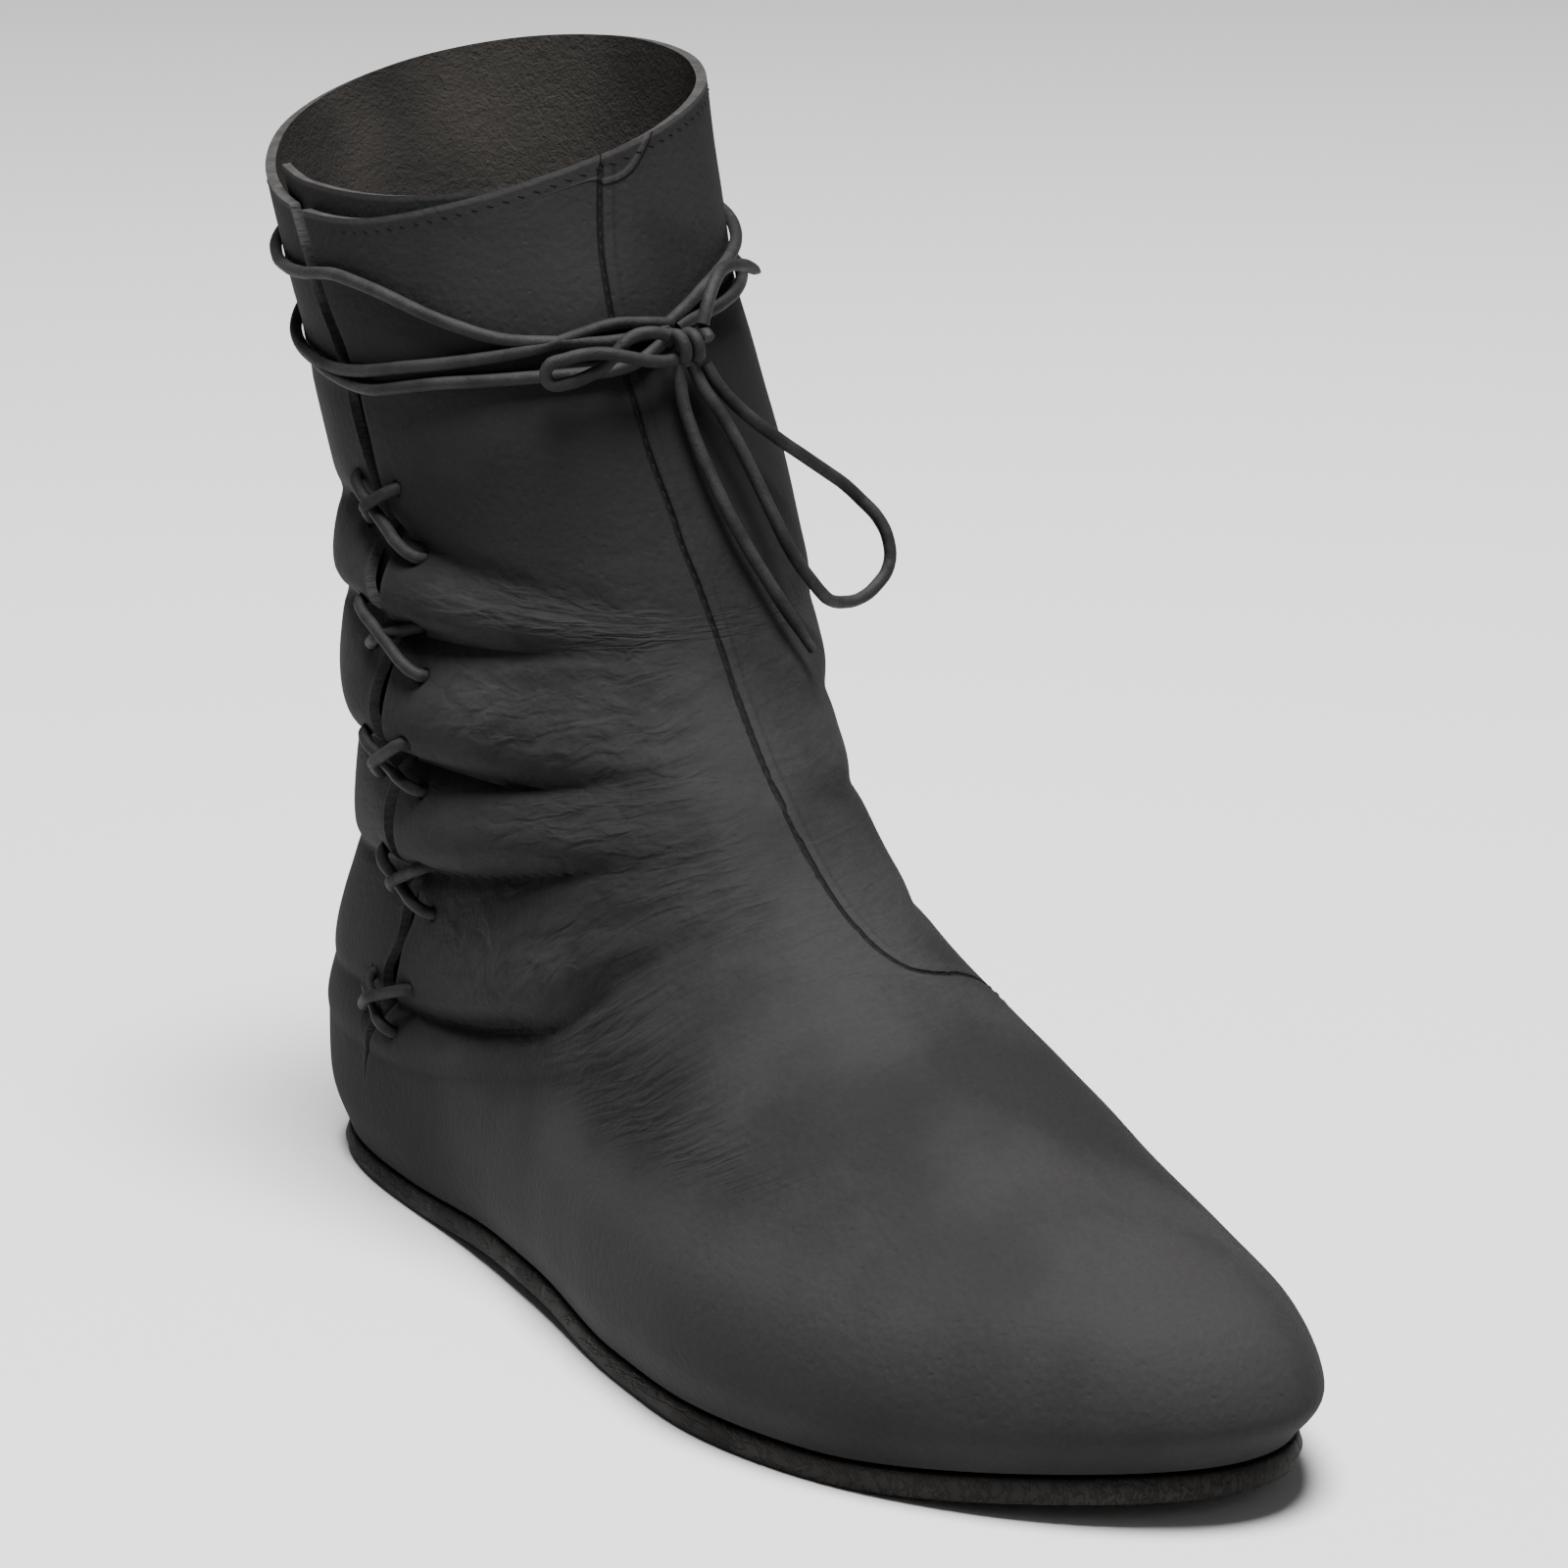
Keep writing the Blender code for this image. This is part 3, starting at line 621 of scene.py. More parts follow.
def makeUpper():
    columns, rows, lip = upper["columns"], upper["rows"], upper["lipRows"]
    item = newGrid("boot_upper", columns, rows)
    order = gridOrder(item, columns, rows)
    places = np.zeros((rows, columns, 3))
    fields = {name: np.zeros((rows, columns)) for name in
              ("foldPaintedShading", "creasing", "flowUp", "flowAlong", "collarEdge", "slitEdge",
               "seamLine", "cornerLine", "holeRing")}
    seamPoints, seamNormals = lineSamples(seam["line"], 420)[2:]
    cornerPoints, cornerNormals = lineSamples(seam["corner"], 60)[2:]
    footRing = formPoints(0.0, upperAngles(0.0))
    for row, inset in enumerate(np.linspace(boot["lipWidth"], 0.0014, lip)):
        ring = insetRing(footRing, inset)
        ring[:, 2] = soleTop + soleRise(ring[:, 0])
        places[row] = ring + shift
        for name in ("collarEdge", "slitEdge", "seamLine", "cornerLine", "holeRing"):
            fields[name][row] = 0.05
    packed = np.cumsum(upper["rowShares"])
    levels = np.interp(np.linspace(0.0, packed[-1], rows - lip), packed, np.arange(11.0))
    for row, level in enumerate(levels, start=lip):
        angles = upperAngles(level)
        plain = ringPoints(level, angles)
        relief = leatherRelief(level, angles)
        toHole = np.linalg.norm(plain[:, None, :] - holeSpots[None, :, :], axis=2).min(axis=1)
        dimple = upper["dimple"] * np.exp(-(toHole / upper["dimpleHalf"]) ** 2)
        places[row] = plain + (relief - dimple)[:, None] * ringNormals(level, angles)
        lift = edgeLift(level, angles)
        places[row] += lift[:, None] * (ringPoints(level + 0.05, angles) - plain) / 0.05
        degrees = np.degrees(angles) % 360.0
        fields["flowUp"][row] = foldFlow(level, angles)
        steps = np.linalg.norm(np.diff(plain, axis=0), axis=1)
        fields["flowAlong"][row] = np.concatenate([[0.0], np.cumsum(steps)]) * 1000.0
        # Painted light and shade: leather that stands out is painted lighter, and leather sunk into
        # a crease is painted darker.
        fields["foldPaintedShading"][row] = np.clip((relief + 0.0010) / 0.0026, -1.0, 1.0)
        shin = easeStep(88, 122, degrees) * (1 - easeStep(158, 174, degrees))
        shin = shin * easeStep(5.0, 5.5, level) * (1 - easeStep(7.2, 7.9, level))
        fan = easeStep(66, 86, degrees) * (1 - easeStep(116, 152, degrees))
        fan = fan * easeStep(2.8, 3.7, level) * (1 - easeStep(5.0, 5.6, level))
        around = 0.30 * easeStep(3.8, 5.2, level) * (1 - easeStep(7.2, 8.2, level))
        fields["creasing"][row] = np.maximum(np.maximum(shin, fan), around)
        toEdge = 10.0 - level + edgeLift(10.0, angles) - lift
        fields["collarEdge"][row] = toEdge * ringClimb(level, angles)
        slit = slitAngle(level)
        speed = ringSpeed(level, slit)
        half = slitOpening(level) / 2
        fromFront = (angles - slit) * speed - half
        fromBack = (2 * math.pi + slit - angles) * speed - half
        toSlit = np.clip(np.minimum(fromFront, fromBack), 0.0, 0.05)
        below = max(boot["slitFoot"] - level, 0.0) * 0.018
        fields["slitEdge"][row] = np.hypot(toSlit, below)
        fields["seamLine"][row] = signedDistance(plain, seamPoints, seamNormals)
        fields["cornerLine"][row] = signedDistance(plain, cornerPoints, cornerNormals)
        fields["holeRing"][row] = toHole
    onFolds = easeStep(2.2, 2.8, levels) * (1 - easeStep(7.8, 8.4, levels)) * 0.5
    for again in range(upper["roundings"]):  # of the deep creases
        inside = places[lip + 1:-1, 1:-1]
        around = (places[lip:-2, 1:-1] + places[lip + 2:, 1:-1]
                  + places[lip + 1:-1, :-2] + places[lip + 1:-1, 2:]) / 4
        inside += (around - inside) * onFolds[1:-1, None, None]
    drape(item, order, places)
    for name, values in fields.items():
        tag(item, order, name, values)
    middle = levels[rows // 2 - lip]
    faceOutwards(item, places[rows // 2, columns // 3],
                 ringNormals(middle, upperAngles(middle))[columns // 3])
    for material in (nubuck, fleshSide, cutEdge):
        item.data.materials.append(material)
    thicken(item, boot["wall"], 1, 2)
    smooth(item, 40)
    settle(item, "upper_leather", "upper")
    print("upper made:", len(item.data.polygons), "faces")
    return item


# Soles: layers of leather with the boot's outline, rounded at their edges
outsole = {"points": 160, "edge": 0.0008, "bulge": 0.0005}


def outlineLoop(inset, count):
    angles = np.linspace(0.0, 2 * math.pi, count, endpoint=False)
    return insetRing(formPoints(0.0, angles), inset)


def makeLayer(name, count, inset, profile, bottom):  # a layer of leather, pulled up ring by ring
    bpy.ops.object.select_all(action="DESELECT")
    bpy.ops.mesh.primitive_circle_add(vertices=count, radius=0.05, fill_type="NGON")
    item = bpy.context.object
    item.name = name
    item.data.name = name
    loops = []
    for extra, rise in profile:
        ring = outlineLoop(inset + extra, count)
        ring[:, 2] = bottom + rise + soleRise(ring[:, 0])
        loops.append(ring + shift)
    for vertex, spot in zip(item.data.vertices, loops[0]):
        vertex.co = spot
    bpy.ops.object.mode_set(mode="EDIT")
    bpy.ops.mesh.select_mode(type="FACE")
    bpy.ops.mesh.select_all(action="SELECT")
    for below, ring in zip(loops, loops[1:]):
        bpy.ops.mesh.extrude_region_move()
        bpy.ops.object.mode_set(mode="OBJECT")
        for vertex in item.data.vertices:
            if vertex.select:
                apart = np.linalg.norm(below - np.array(vertex.co), axis=1)
                vertex.co = ring[int(apart.argmin())]
        bpy.ops.object.mode_set(mode="EDIT")
    for across in np.linspace(loops[0][:, 0].min(), loops[0][:, 0].max(), 46)[1:-1]:
        bpy.ops.mesh.select_all(action="SELECT")
        bpy.ops.mesh.bisect(plane_co=(across, 0.0, 0.0), plane_no=(1.0, 0.0, 0.0))
    bpy.ops.mesh.select_all(action="SELECT")
    bpy.ops.mesh.normals_make_consistent(inside=False)
    bpy.ops.mesh.select_all(action="DESELECT")
    bpy.ops.object.mode_set(mode="OBJECT")
    return item


def makeSole():
    edge, bulge, thick = outsole["edge"], outsole["bulge"], boot["soleThickness"]
    item = makeLayer("boot_outsole", outsole["points"], -0.0006, [
        (edge, 0.0), (0.3 * edge, 0.3 * edge), (0.0, edge), (-bulge, thick * 0.5),
        (0.0, thick - edge), (0.4 * edge, thick - 0.2 * edge), (edge, thick)], 0.0)
    item.data.materials.append(soleLeather)
    smooth(item, 50)
    settle(item, "sole_leather", "outsole")
    liner = makeLayer("boot_insole", outsole["points"], boot["lipWidth"] + boot["insoleGap"], [
        (0.0, 0.0), (0.0, boot["insoleThickness"] - 0.0006),
        (0.0006, boot["insoleThickness"])], soleTop)
    liner.data.materials.append(insoleLeather)
    smooth(liner, 50)
    settle(liner, "insole_leather", "insole")
    print("soles made")
    return item, liner


# Tongue: a wide underlap behind the slit, a little higher than the collar
tongue = {
    "columns": 70,
    "rows": 150,
    "reach": [(2.2, 0.007, 0.009), (3.0, 0.009, 0.013), (4.0, 0.011, 0.017), (5.0, 0.012, 0.021),
              (6.0, 0.012, 0.027), (7.0, 0.012, 0.034), (8.0, 0.012, 0.041), (9.0, 0.012, 0.049),
              (10.08, 0.012, 0.058)],
    "under": 0.0004,
    "puff": 0.0006,
}


def makeTongue():
    columns, rows = tongue["columns"], tongue["rows"]
    item = newGrid("boot_tongue", columns, rows)
    order = gridOrder(item, columns, rows)
    places = np.zeros((rows, columns, 3))
    edges = np.zeros((rows, columns))
    table = np.array(tongue["reach"])
    for row, level in enumerate(np.linspace(table[0, 0], table[-1, 0], rows)):
        back = float(smoothTable(table[:, 0], table[:, 1], level))
        front = float(smoothTable(table[:, 0], table[:, 2], level))
        across = np.linspace(-back, front, columns)
        slit = slitAngle(level)
        angles = slit + across / ringSpeed(level, slit)
        relief = leatherRelief(level, angles)
        depth = np.where(relief > 0, 0.55 * relief, relief) - boot["wall"] - tongue["under"]
        puff = np.sin(level * 5.2 + 0.8 * np.sin(across * 160)) * np.exp(-(across / 0.004) ** 2)
        off = depth + 0.5 * (tongue["puff"] * puff)
        places[row] = ringPoints(level, angles) + off[:, None] * ringNormals(level, angles)
        edges[row] = (table[-1, 0] - level) * ringClimb(level, angles)
    drape(item, order, places)
    tag(item, order, "collarEdge", edges)
    faceOutwards(item, places[rows // 2, columns // 2],
                 ringNormals(6.2, np.array([slitAngle(6.2)]))[0])
    for material in (tongueLeather, fleshSide, cutEdge):
        item.data.materials.append(material)
    thicken(item, boot["tongueThickness"], 1, 2)
    smooth(item, 40)
    settle(item, "tongue_leather", "tongue")
    print("tongue made:", len(item.data.polygons), "faces")
    return item


# Laces: round leather thongs. Their routes lie on the leather, and dive into their holes
def thong(name, route, material, steps=5, radii=None):
    line = bpy.data.curves.new(name, "CURVE")
    line.dimensions = "3D"
    line.resolution_u = steps
    line.bevel_depth = boot["lace"] / 2
    line.bevel_resolution = 3
    line.use_fill_caps = True
    spline = line.splines.new("BEZIER")
    spline.bezier_points.add(len(route) - 1)
    for k, (point, spot) in enumerate(zip(spline.bezier_points, route)):
        point.co = spot
        point.handle_left_type = point.handle_right_type = "AUTO"
        point.radius = 1.0 if radii is None else radii[k]
    line.materials.append(material)
    item = bpy.data.objects.new(name, line)
    bpy.context.scene.collection.objects.link(item)
    return item


def intoMesh(items, name):  # several curves become one mesh piece
    choose(items)
    bpy.ops.object.convert(target="MESH")
    if len(items) > 1:
        bpy.ops.object.join()
    joined = bpy.context.object
    joined.name = name
    joined.data.name = name
    return joined


def crossStrand(name, first, last, lift):
    half = boot["lace"] / 2
    starts = [leatherSpot(level, besideSlit(level, away), 0.0) for level, away in (first, last)]
    normals = [ringNormals(level, np.array([besideSlit(level, away)]))[0]
               for level, away in (first, last)]
    span = starts[1] - starts[0]
    along = span / np.linalg.norm(span)
    middle = (first[0] + last[0]) / 2
    outward = ringNormals(middle, np.array([slitAngle(middle)]))[0]
    route = [starts[0] - 0.0030 * normals[0] + 0.0002 * along,
             starts[0] - 0.0012 * normals[0] + 0.0001 * along,
             starts[0] + 0.4 * half * normals[0] + 0.0009 * along]
    for share in (0.2, 0.35, 0.5, 0.65, 0.8):
        level = first[0] + (last[0] - first[0]) * share
        away = first[1] + (last[1] - first[1]) * share
        surface = leatherSpot(level, besideSlit(level, away), 0.0)
        straight = starts[0] + span * share + 0.4 * half * outward
        hump = half + 0.0002 + lift * math.exp(-((share - 0.5) / 0.2) ** 2)
        above = max(float(np.dot(surface - straight, outward)), 0.0) + hump
        route.append(straight + above * outward)
    route += [starts[1] + 0.4 * half * normals[1] - 0.0009 * along,
              starts[1] - 0.0012 * normals[1] - 0.0001 * along,
              starts[1] - 0.0030 * normals[1] - 0.0002 * along]
    return thong(name, [tuple(point) for point in route], lace, 4)


def makeCrossings():
    for name, (frontHigh, frontLow, backHigh, backLow) in lacing.items():
        under = crossStrand(name + "_under", backHigh, frontLow, 0.0)
        over = crossStrand(name + "_over", backLow, frontHigh, boot["lace"] * 0.85)
        item = intoMesh([over, under], name.replace("lace_cross", "boot_crossing"))
        settle(item, "lace_leather", name)
    print("crossings made")


# Strands wrapped round the leg: (ring level, angle) from the knot round and back to it
wraps = {
    "high": [(8.89, 187), (8.90, 171), (8.96, 155), (9.03, 142), (9.21, 128), (9.41, 116),
             (9.54, 102), (9.48, 88), (9.40, 63), (9.36, 30), (9.34, 0), (9.30, -30),
             (9.26, -60), (9.20, -90), (9.14, -120), (9.06, -150), (8.98, -164), (8.92, -172)],
    "middle": [(8.91, 189), (8.99, 172), (8.94, 155), (8.89, 134), (8.84, 116), (8.76, 97),
               (8.76, 78), (8.84, 50), (8.92, 20), (8.95, 0), (8.97, -30), (8.96, -60),
               (8.94, -90), (8.92, -120), (8.90, -150), (8.90, -164), (8.88, -170)],
    "low": [(8.87, 188), (8.79, 180), (8.74, 170), (8.76, 150), (8.74, 124), (8.66, 104),
            (8.69, 92), (8.755, 80)],
}


def makeWraps():
    strands = []
    for key, rows in wraps.items():
        table = np.array(rows, float)
        steps = np.arange(len(rows))
        at = np.linspace(0, len(rows) - 1, 2 * len(rows) - 1)
        levels = smoothTable(steps, table[:, 0], at)
        angles = np.radians(smoothTable(steps, table[:, 1], at))
        route = [tuple(leatherSpot(level, angle, boot["lace"] / 2 + 0.0002))
                 for level, angle in zip(levels, angles)]
        strands.append(thong("wrap_" + key, route, lace))
    item = intoMesh(strands, "boot_wrapped_lace")
    settle(item, "lace_leather", "lace_wrap")
    print("wraps made")


# Knot, bow and loose ends: routes in millimetres, as in the solid model before its shift
bow = {
    "knotMiddle": (0.1038, 0.0056, 0.1680),
    "knotRadius": 0.0022,
    "knotTurns": 2.4,
    "knotPitch": 0.0027,
    "bow_loop_outer": [(103.8, 1.45, 170.3), (103.4, -1.6, 171.0), (102.4, -5.6, 170.2),
                       (102.0, -10.4, 165.6), (99.8, -15.8, 162.8), (97.6, -19.2, 162.2),
                       (97.4, -20.4, 164.6), (99.4, -17.4, 166.8), (103.0, -11.2, 168.0),
                       (105.0, -5.0, 166.6), (104.4, -0.6, 165.8), (103.8, 2.8, 165.8)],
    "bow_loop_inner": [(104.0, 8.8, 164.4), (105.4, 10.8, 160.4), (106.4, 14.2, 156.4),
                       (106.4, 21.6, 150.4), (102.8, 32.0, 143.6), (101.0, 42.0, 136.2),
                       (103.6, 46.6, 129.4), (105.0, 46.4, 123.6), (106.4, 41.0, 118.9),
                       (109.4, 33.0, 118.8), (115.0, 24.6, 124.6), (116.2, 19.4, 131.2),
                       (113.8, 16.2, 139.4), (110.4, 13.0, 148.6), (108.2, 9.6, 156.0),
                       (105.8, 7.2, 160.8), (104.0, 6.2, 164.4)],
    "lace_end_low": [(104.0, 3.6, 164.4), (105.4, 3.2, 159.4), (108.2, 4.0, 152.6),
                     (111.0, 5.4, 146.6), (115.4, 8.8, 136.1), (119.0, 14.6, 124.5),
                     (122.4, 20.6, 113.6)],
    "lace_end_high": [(103.8, 8.4, 171.6), (102.6, 10.2, 175.6), (99.6, 13.4, 178.8),
                      (95.4, 17.6, 180.0), (91.0, 23.4, 179.4), (84.6, 30.6, 176.6)],
}


def evenRoute(points, count):
    points = np.asarray(points, float)
    lengths = np.concatenate([[0.0], np.cumsum(np.linalg.norm(np.diff(points, axis=0), axis=1))])
    at = np.linspace(0.0, lengths[-1], count)
    return np.stack([smoothTable(lengths, points[:, k], at) for k in range(3)], axis=1)


def routeLength(item):
    spline = item.data.splines[0]
    points = [np.array(point.co) for point in spline.bezier_points]
    fine = evenRoute(points, 400)
    return float(np.linalg.norm(np.diff(fine, axis=0), axis=1).sum())


def makeBow():
    knotRoute = []
    middle, radius, turns = bow["knotMiddle"], bow["knotRadius"], bow["knotTurns"]
    for share in np.linspace(0.0, 1.0, 29):
        turn = 2 * math.pi * turns * share
        knotRoute.append(np.array((middle[0] - radius * math.cos(turn),
                                   middle[1] + (share - 0.5) * bow["knotPitch"] * turns,
                                   middle[2] + radius * math.sin(turn))) + shift)
    cords = {"lace_knot": (knotRoute, "object", None)}
    for name, count, farEnd in (("bow_loop_outer", 16, "object"), ("bow_loop_inner", 30, "object"),
                                ("lace_end_low", 16, "bare"), ("lace_end_high", 15, "bare")):
        route = evenRoute(np.array(bow[name]) / 1000.0 + shift, count)
        radii = None
        if farEnd == "bare":
            radii = [1.0] * (count - 3) + [0.97, 0.8, 0.35 if name == "lace_end_high" else 0.7]
        cords[name] = (list(route), farEnd, radii)
    for name, (route, farEnd, radii) in cords.items():
        item = thong("boot_" + name, [tuple(point) for point in route], lace, 4, radii)
        settle(item, "lace_leather", name)
        routeLength(item)
    print("bow made")


# Stitches: one short thread, copied along each stitched line
def stitchMesh(length, radius):
    bpy.ops.object.select_all(action="DESELECT")
    bpy.ops.mesh.primitive_cylinder_add(vertices=6, radius=radius, depth=length * 0.7,
                                        end_fill_type="NGON")
    item = bpy.context.object
    bpy.ops.object.mode_set(mode="EDIT")
    bpy.ops.mesh.select_all(action="DESELECT")
    bpy.ops.object.mode_set(mode="OBJECT")
    for end in (1, -1):
        for face in item.data.polygons:
            face.select = face.normal.z * end > 0.9
        bpy.ops.object.mode_set(mode="EDIT")
        bpy.ops.mesh.select_mode(type="FACE")
        bpy.ops.mesh.extrude_region_move(
            TRANSFORM_OT_translate={"value": (0.0, 0.0, end * length * 0.15)})
        bpy.ops.transform.resize(value=(0.45, 0.45, 1.0))
        bpy.ops.mesh.select_all(action="DESELECT")
        bpy.ops.object.mode_set(mode="OBJECT")
    return item


def sewAlong(name, spots, length, radius, tilt, sink, nodeSlot):
    pattern = stitchMesh(length, radius)
    pattern.data.materials.append(thread)
    copies = [pattern]
    for again in spots[1:]:
        twin = pattern.copy()
        twin.data = pattern.data.copy()
        bpy.context.scene.collection.objects.link(twin)
        copies.append(twin)
    for item, (spot, direction, outward) in zip(copies, spots):
        along = Vector(direction).normalized()
        away = Vector(outward).normalized()
        across = along.cross(away).normalized()
        along = (along * math.cos(tilt) + across * math.sin(tilt)).normalized()
        across = along.cross(away).normalized()
        turn = Matrix((across, away, along)).transposed().to_4x4()
        item.data.transform(Matrix.Translation(Vector(spot) + away * sink) @ turn)
    choose(copies)
    bpy.ops.object.join()
    pattern.name = name
    pattern.data.name = name
    smooth(pattern, 60)
    settle(pattern, nodeSlot)
    return pattern


def spotsAlong(rows, pitch, count=700):
    levels, angles = lineSamples(rows, count)[:2]
    points = np.array([leatherSpot(level, angle) for level, angle in zip(levels, angles)])
    lengths = np.concatenate([[0.0], np.cumsum(np.linalg.norm(np.diff(points, axis=0), axis=1))])
    spots = []
    for at in np.arange(pitch, lengths[-1] - pitch, pitch):
        k = min(int(np.searchsorted(lengths, at)), count - 2)
        outward = ringNormals(levels[k], np.array([angles[k]]))[0]
        spots.append((points[k], points[k + 1] - points[k - 1], outward))
    return spots


def makeStitches():
    sewAlong("seam_stitches", spotsAlong(seam["line"], seam["stitchPitch"]), seam["stitchLength"],
             seam["stitchRadius"], 0.0, -0.0001, "upper_leather")
    collarLine = [(9.90, degrees) for degrees in np.linspace(100, 428, 83)]
    sewAlong("collar_stitches", spotsAlong(collarLine, 0.0030, 900), 0.0013, 0.0002, 0.5, -0.00005,
             "upper_leather")
    print("stitches made")


# Finishes
def makeNubuck(name, dark, light, folded):
    f = Finish(name, **{"Specular IOR Level": 0.10})
    mottle = f.ease(f.noise(34.0, 4.0, rough=0.6), 0.34, 0.68)
    clouds = f.ease(f.noise(9.0, 2.0), 0.36, 0.66)
    nap = f.noise(1000.0, 3.0, rough=0.7)
    grain = f.node("ShaderNodeTexVoronoi", {"feature": "F1"}, {"Vector": f.spot, "Scale": 620.0})
    pores = f.node("ShaderNodeTexVoronoi", {"feature": "F1"}, {"Vector": f.spot, "Scale": 330.0})
    share = f.ease(clouds * 0.6 + mottle * 0.4, 0.15, 0.85)
    base = f.mix(share, dark, light)
    height = grain * 0.24 + nap * 0.30 - f.ease(pores, 0.0, 0.22, 0.22, 0.0)
    tall = f.node("ShaderNodeSeparateXYZ", {}, {0: f.spot}, 2)
    tone = (0.78 + nap * 0.44) * f.ease(tall, 0.03, 0.19, 1.10, 0.70)  # painted light: lighter towards the foot and darker up the shaft, as the overhead light falls
    if folded:
        # Painted light and shade: the fold swellings are painted lighter, and their creases and the
        # fine wrinkle lines are painted darker.
        folds = f.attribute("foldPaintedShading")
        creasing = f.attribute("creasing")
        bend = f.noise(90.0, 2.0) * 1.1  # lets the fine wrinkles waver
        flow = f.node("ShaderNodeCombineXYZ", {}, {0: f.attribute("flowAlong") * 0.150,
                                                   1: f.attribute("flowUp") * 0.36 + bend})
        lines = f.noise(1.0, 2.0, flow, 0.45, 0.5)
        tone = tone * (1 + folds * 0.46) * (1 - f.ease(lines, 0.54, 0.34) * creasing * 0.22)
        height = height + lines * 2.8 * creasing
    edge = f.attribute("collarEdge")
    if folded:
        seamGap = f.attribute("seamLine") * 1000
        corner = f.attribute("cornerLine") * 1000
        hole = f.attribute("holeRing") * 1000
        slit = f.attribute("slitEdge") * 1000
        # groove and raised also paint the seam: painted shade in its groove, and a faint painted
        # highlight on the raised band beside it.
        groove = f.ease(abs(seamGap), 0.15, 0.75, 1.0, 0.0)
        raised = f.ease(abs(seamGap - 1.7), 0.3, 1.5, 1.0, 0.0)
        lapped = f.ease(seamGap, -0.5, 0.4)
        fold = f.ease(abs(corner), 0.2, 0.9, 1.0, 0.0)
        # punched also paints shade round each lace hole, standing in for the dark inside it.
        punched = f.ease(hole, 0.9, 1.7, 1.0, 0.0)
        worn = f.ease(slit, 0.2, 1.6, 1.0, 0.0)
        height = height + lapped * 1.6 + raised * 0.8 - groove * 2.4 + fold * 1.2 - punched * 3.0
        tone = tone * (1 - groove * 0.60) * (1 + raised * 0.06) * (1 - punched * 0.7)
        tone = tone * (1 + worn * 0.35)
        # Painted highlight: a paler line along the raised corner fold.
        base = f.mix(fold * 0.30, base, (0.030, 0.029, 0.029))
    rim = f.ease(edge, 0.0006, 0.0014, 1.0, 0.0)
    fuzz = f.noise(420.0, 3.0)
    base = f.mix(rim * (0.55 + fuzz * 0.6), base, (0.036, 0.034, 0.034))
    colour = f.dim(base, tone)
    rough = 0.80 + mottle * 0.08 - share * 0.06
    normal = f.bump(height, 0.00035)
    return f.paint(Base_Color=colour, Roughness=rough, Normal=normal)


def makeFleshSide():
    f = Finish("flesh_side", **{"Specular IOR Level": 0.15})
    fibres = f.noise(520.0, 5.0, rough=0.7, warp=0.6)
    patch = f.ease(f.noise(24.0, 3.0), 0.35, 0.66)
    base = f.mix(patch, (0.013, 0.0115, 0.0105), (0.026, 0.0235, 0.021))
    height = fibres * 0.8 + f.noise(1600.0, 2.0) * 0.3
    return f.paint(Base_Color=f.dim(base, 0.75 + fibres * 0.5), Roughness=0.86 + fibres * 0.1,
                   Normal=f.bump(height, 0.0005))


def makeCutEdge():
    f = Finish("cut_edge", **{"Specular IOR Level": 0.25})
    layers = f.noise(1.0, 4.0, f.stretched((0.0, 0.0, 0.0), (300.0, 300.0, 1500.0)), 0.7)
    base = f.mix(f.ease(layers, 0.3, 0.7), (0.014, 0.0133, 0.013), (0.031, 0.030, 0.029))
    return f.paint(Base_Color=base, Roughness=0.7 + layers * 0.2, Normal=f.bump(layers, 0.0004))


def makeSoleLeather():
    f = Finish("worn_sole_leather", **{"Specular IOR Level": 0.15})
    patch = f.ease(f.noise(30.0, 5.0, rough=0.65), 0.36, 0.64)
    dust = f.ease(f.noise(11.0, 4.0), 0.42, 0.7)
    scratch = f.noise(1.0, 3.0, f.stretched((0.0, 0.0, 0.35), (60.0, 900.0, 300.0)), 0.65)
    lines = f.ease(abs(scratch * 2 - 1), 0.0, 0.10, 1.0, 0.0)
    pits = f.node("ShaderNodeTexVoronoi", {"feature": "F1"}, {"Vector": f.spot, "Scale": 260.0})
    base = f.mix(patch, (0.0055, 0.0051, 0.0048), (0.012, 0.011, 0.010))
    base = f.mix(dust * 0.25, base, (0.034, 0.030, 0.026))
    height = patch * 0.3 + f.ease(pits, 0.0, 0.35, -0.5, 0.0) - lines * 0.5
    return f.paint(Base_Color=f.dim(base, 1 - lines * 0.25), Roughness=0.78 - patch * 0.14,
                   Normal=f.bump(height, 0.0005))


def makeInsoleLeather():
    f = Finish("worn_insole_leather", **{"Specular IOR Level": 0.3})
    grain = f.node("ShaderNodeTexVoronoi", {"feature": "F1"}, {"Vector": f.spot, "Scale": 700.0})
    patch = f.ease(f.noise(26.0, 4.0), 0.35, 0.66)
    base = f.mix(patch, (0.050, 0.037, 0.027), (0.082, 0.062, 0.046))
    return f.paint(Base_Color=f.dim(base, 0.8 + grain * 0.35), Roughness=0.7 + patch * 0.12,
                   Normal=f.bump(grain * 0.5 + patch * 0.3, 0.0003))


def makeLace():
    f = Finish("grey_leather_lace", **{"Specular IOR Level": 0.16})
    fibre = f.noise(700.0, 4.0, rough=0.7)
    patch = f.ease(f.noise(120.0, 3.0), 0.35, 0.68)
    base = f.mix(patch, (0.0090, 0.0086, 0.0088), (0.0185, 0.0177, 0.0180))
    base = f.dim(base, 0.72 + fibre * 0.55)
    return f.paint(Base_Color=base, Roughness=0.58 + fibre * 0.2,
                   Normal=f.bump(fibre * 0.8 + patch * 0.6, 0.0003))


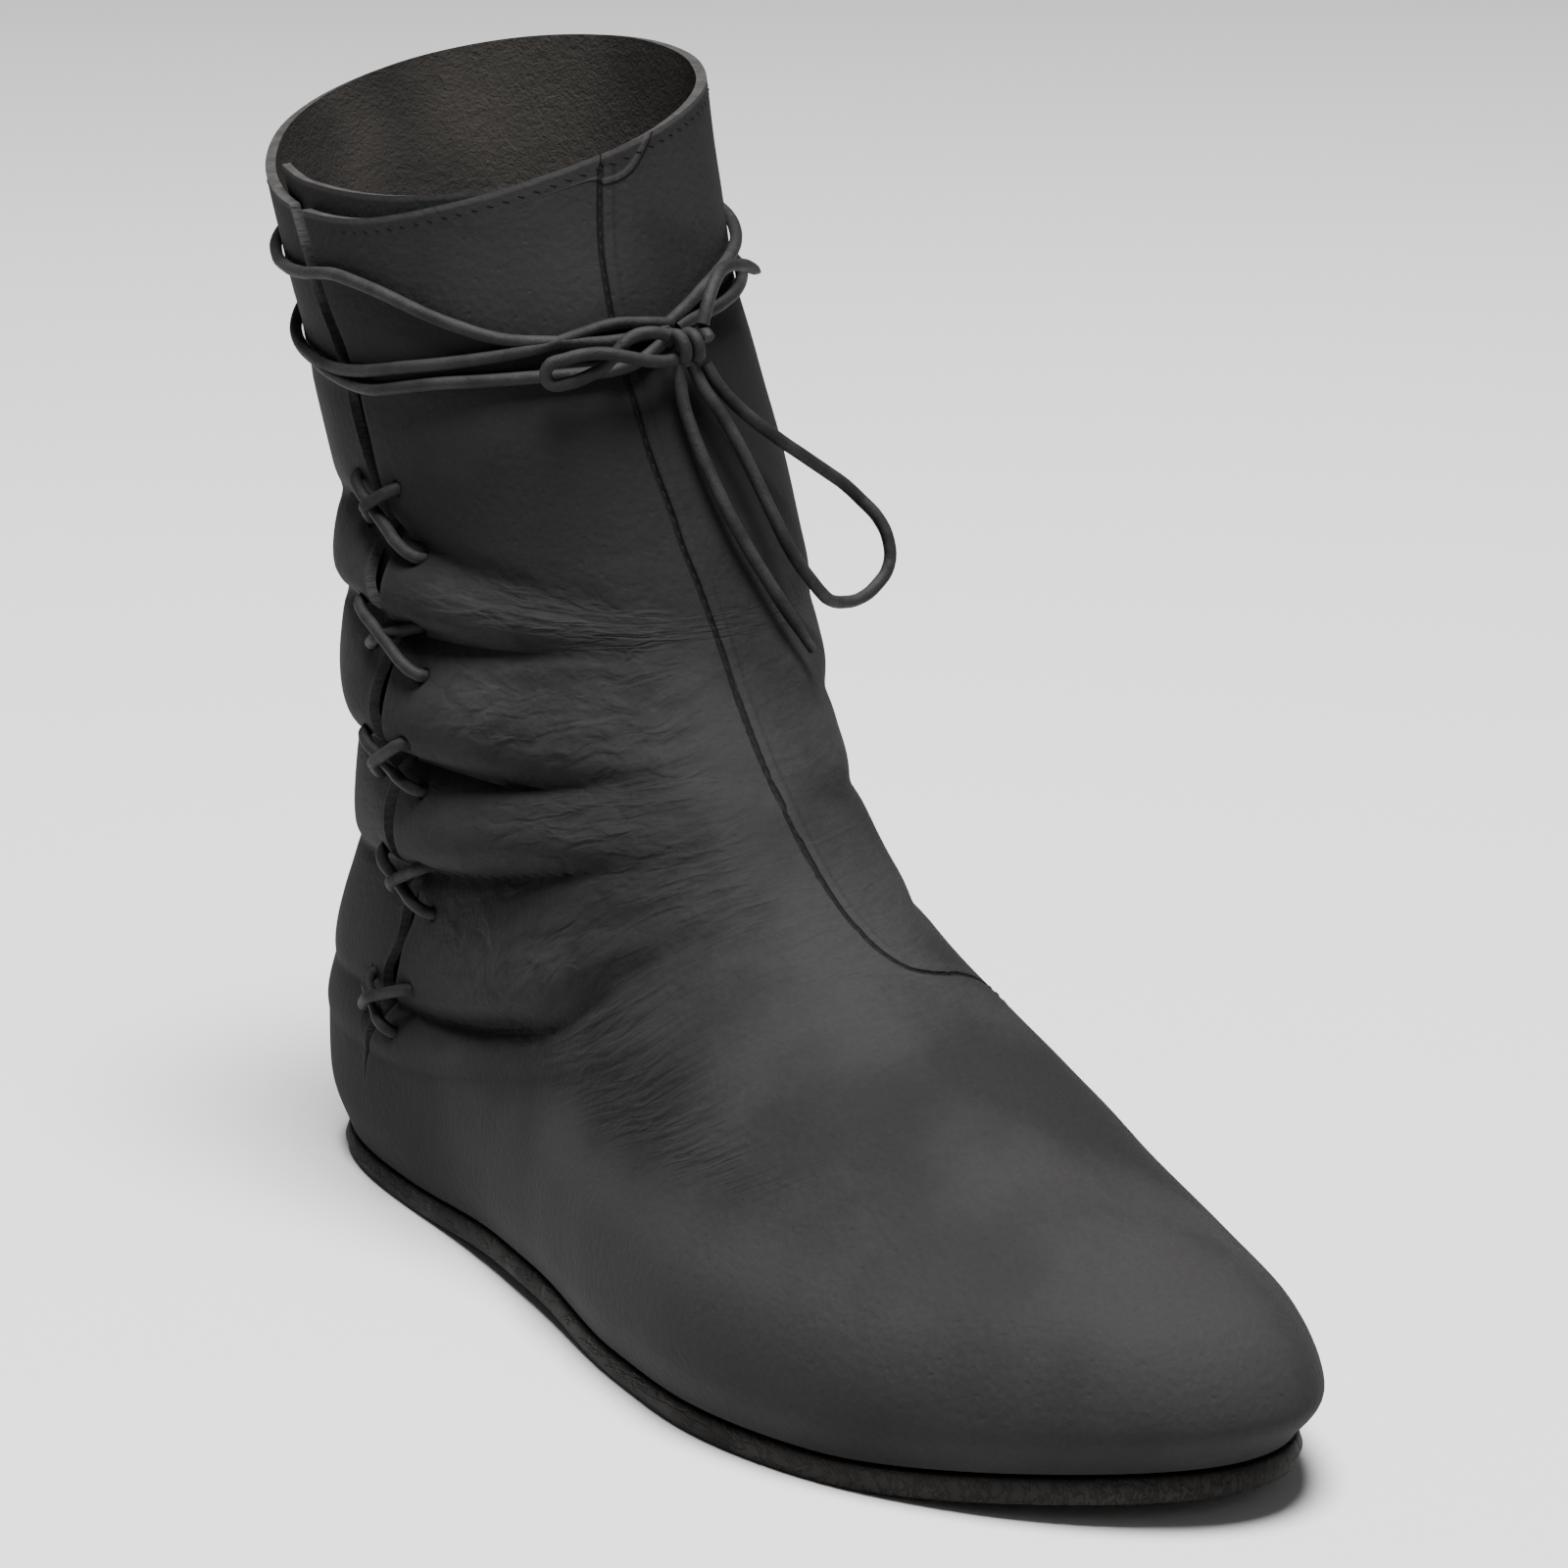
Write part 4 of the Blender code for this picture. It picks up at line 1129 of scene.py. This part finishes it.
def makeThread():
    f = Finish("waxed_thread", **{"Specular IOR Level": 0.10})
    twist = f.noise(1800.0, 2.0)
    base = f.mix(twist, (0.0030, 0.0028, 0.0028), (0.0080, 0.0075, 0.0074))
    return f.paint(Base_Color=base, Roughness=0.75 + twist * 0.2, Normal=f.bump(twist, 0.0001))


def makeFloor():
    f = Finish("pale_floor", **{"Specular IOR Level": 0.2})
    cloud = f.noise(3.0, 3.0)
    base = f.mix(cloud, (0.57, 0.57, 0.57), (0.60, 0.60, 0.60))
    paint = f.paint(Base_Color=base, Roughness=0.85 + cloud * 0.05)
    bpy.ops.object.select_all(action="DESELECT")
    bpy.ops.mesh.primitive_plane_add(size=14.0, location=(0.0, 0.0, 0.0))
    floor = bpy.context.object
    floor.name = "studio_floor"
    floor.data.materials.append(paint)


nubuck = makeNubuck("charcoal_nubuck", (0.0088, 0.0083, 0.0085), (0.0152, 0.0145, 0.0148), True)
tongueLeather = makeNubuck("tongue_nubuck", (0.0090, 0.0086, 0.0088), (0.0150, 0.0143, 0.0146),
                           False)
fleshSide = makeFleshSide()
cutEdge = makeCutEdge()
soleLeather = makeSoleLeather()
insoleLeather = makeInsoleLeather()
lace = makeLace()
thread = makeThread()
print("finishes made")

makeFloor()
makeUpper()
makeTongue()
makeSole()
makeCrossings()
makeWraps()
makeBow()
makeStitches()

# Soft studio light: a wide box overhead, a smaller one in front, and a pale surround
lights = {
    "overhead": ((0.25, -0.15, 2.60), (0.0, 0.0, 0.06), 1.3, 272.0),
    "front": ((1.60, 0.30, 0.90), (0.0, 0.0, 0.09), 0.9, 3.0),
}
for name, (spot, target, width, watts) in lights.items():
    bpy.ops.object.light_add(type="AREA", location=spot)
    lamp = bpy.context.object
    lamp.name = name + "_light"
    lamp.data.shape = "DISK"
    lamp.data.size = width
    lamp.data.energy = watts
    lamp.rotation_euler = (Vector(spot) - Vector(target)).to_track_quat("Z", "Y").to_euler()
world = bpy.data.worlds.new("studio")
bpy.context.scene.world = world
world.use_nodes = True
world.node_tree.nodes["Background"].inputs["Color"].default_value = (1.0, 1.0, 1.0, 1.0)
world.node_tree.nodes["Background"].inputs["Strength"].default_value = 0.12
print("light set")
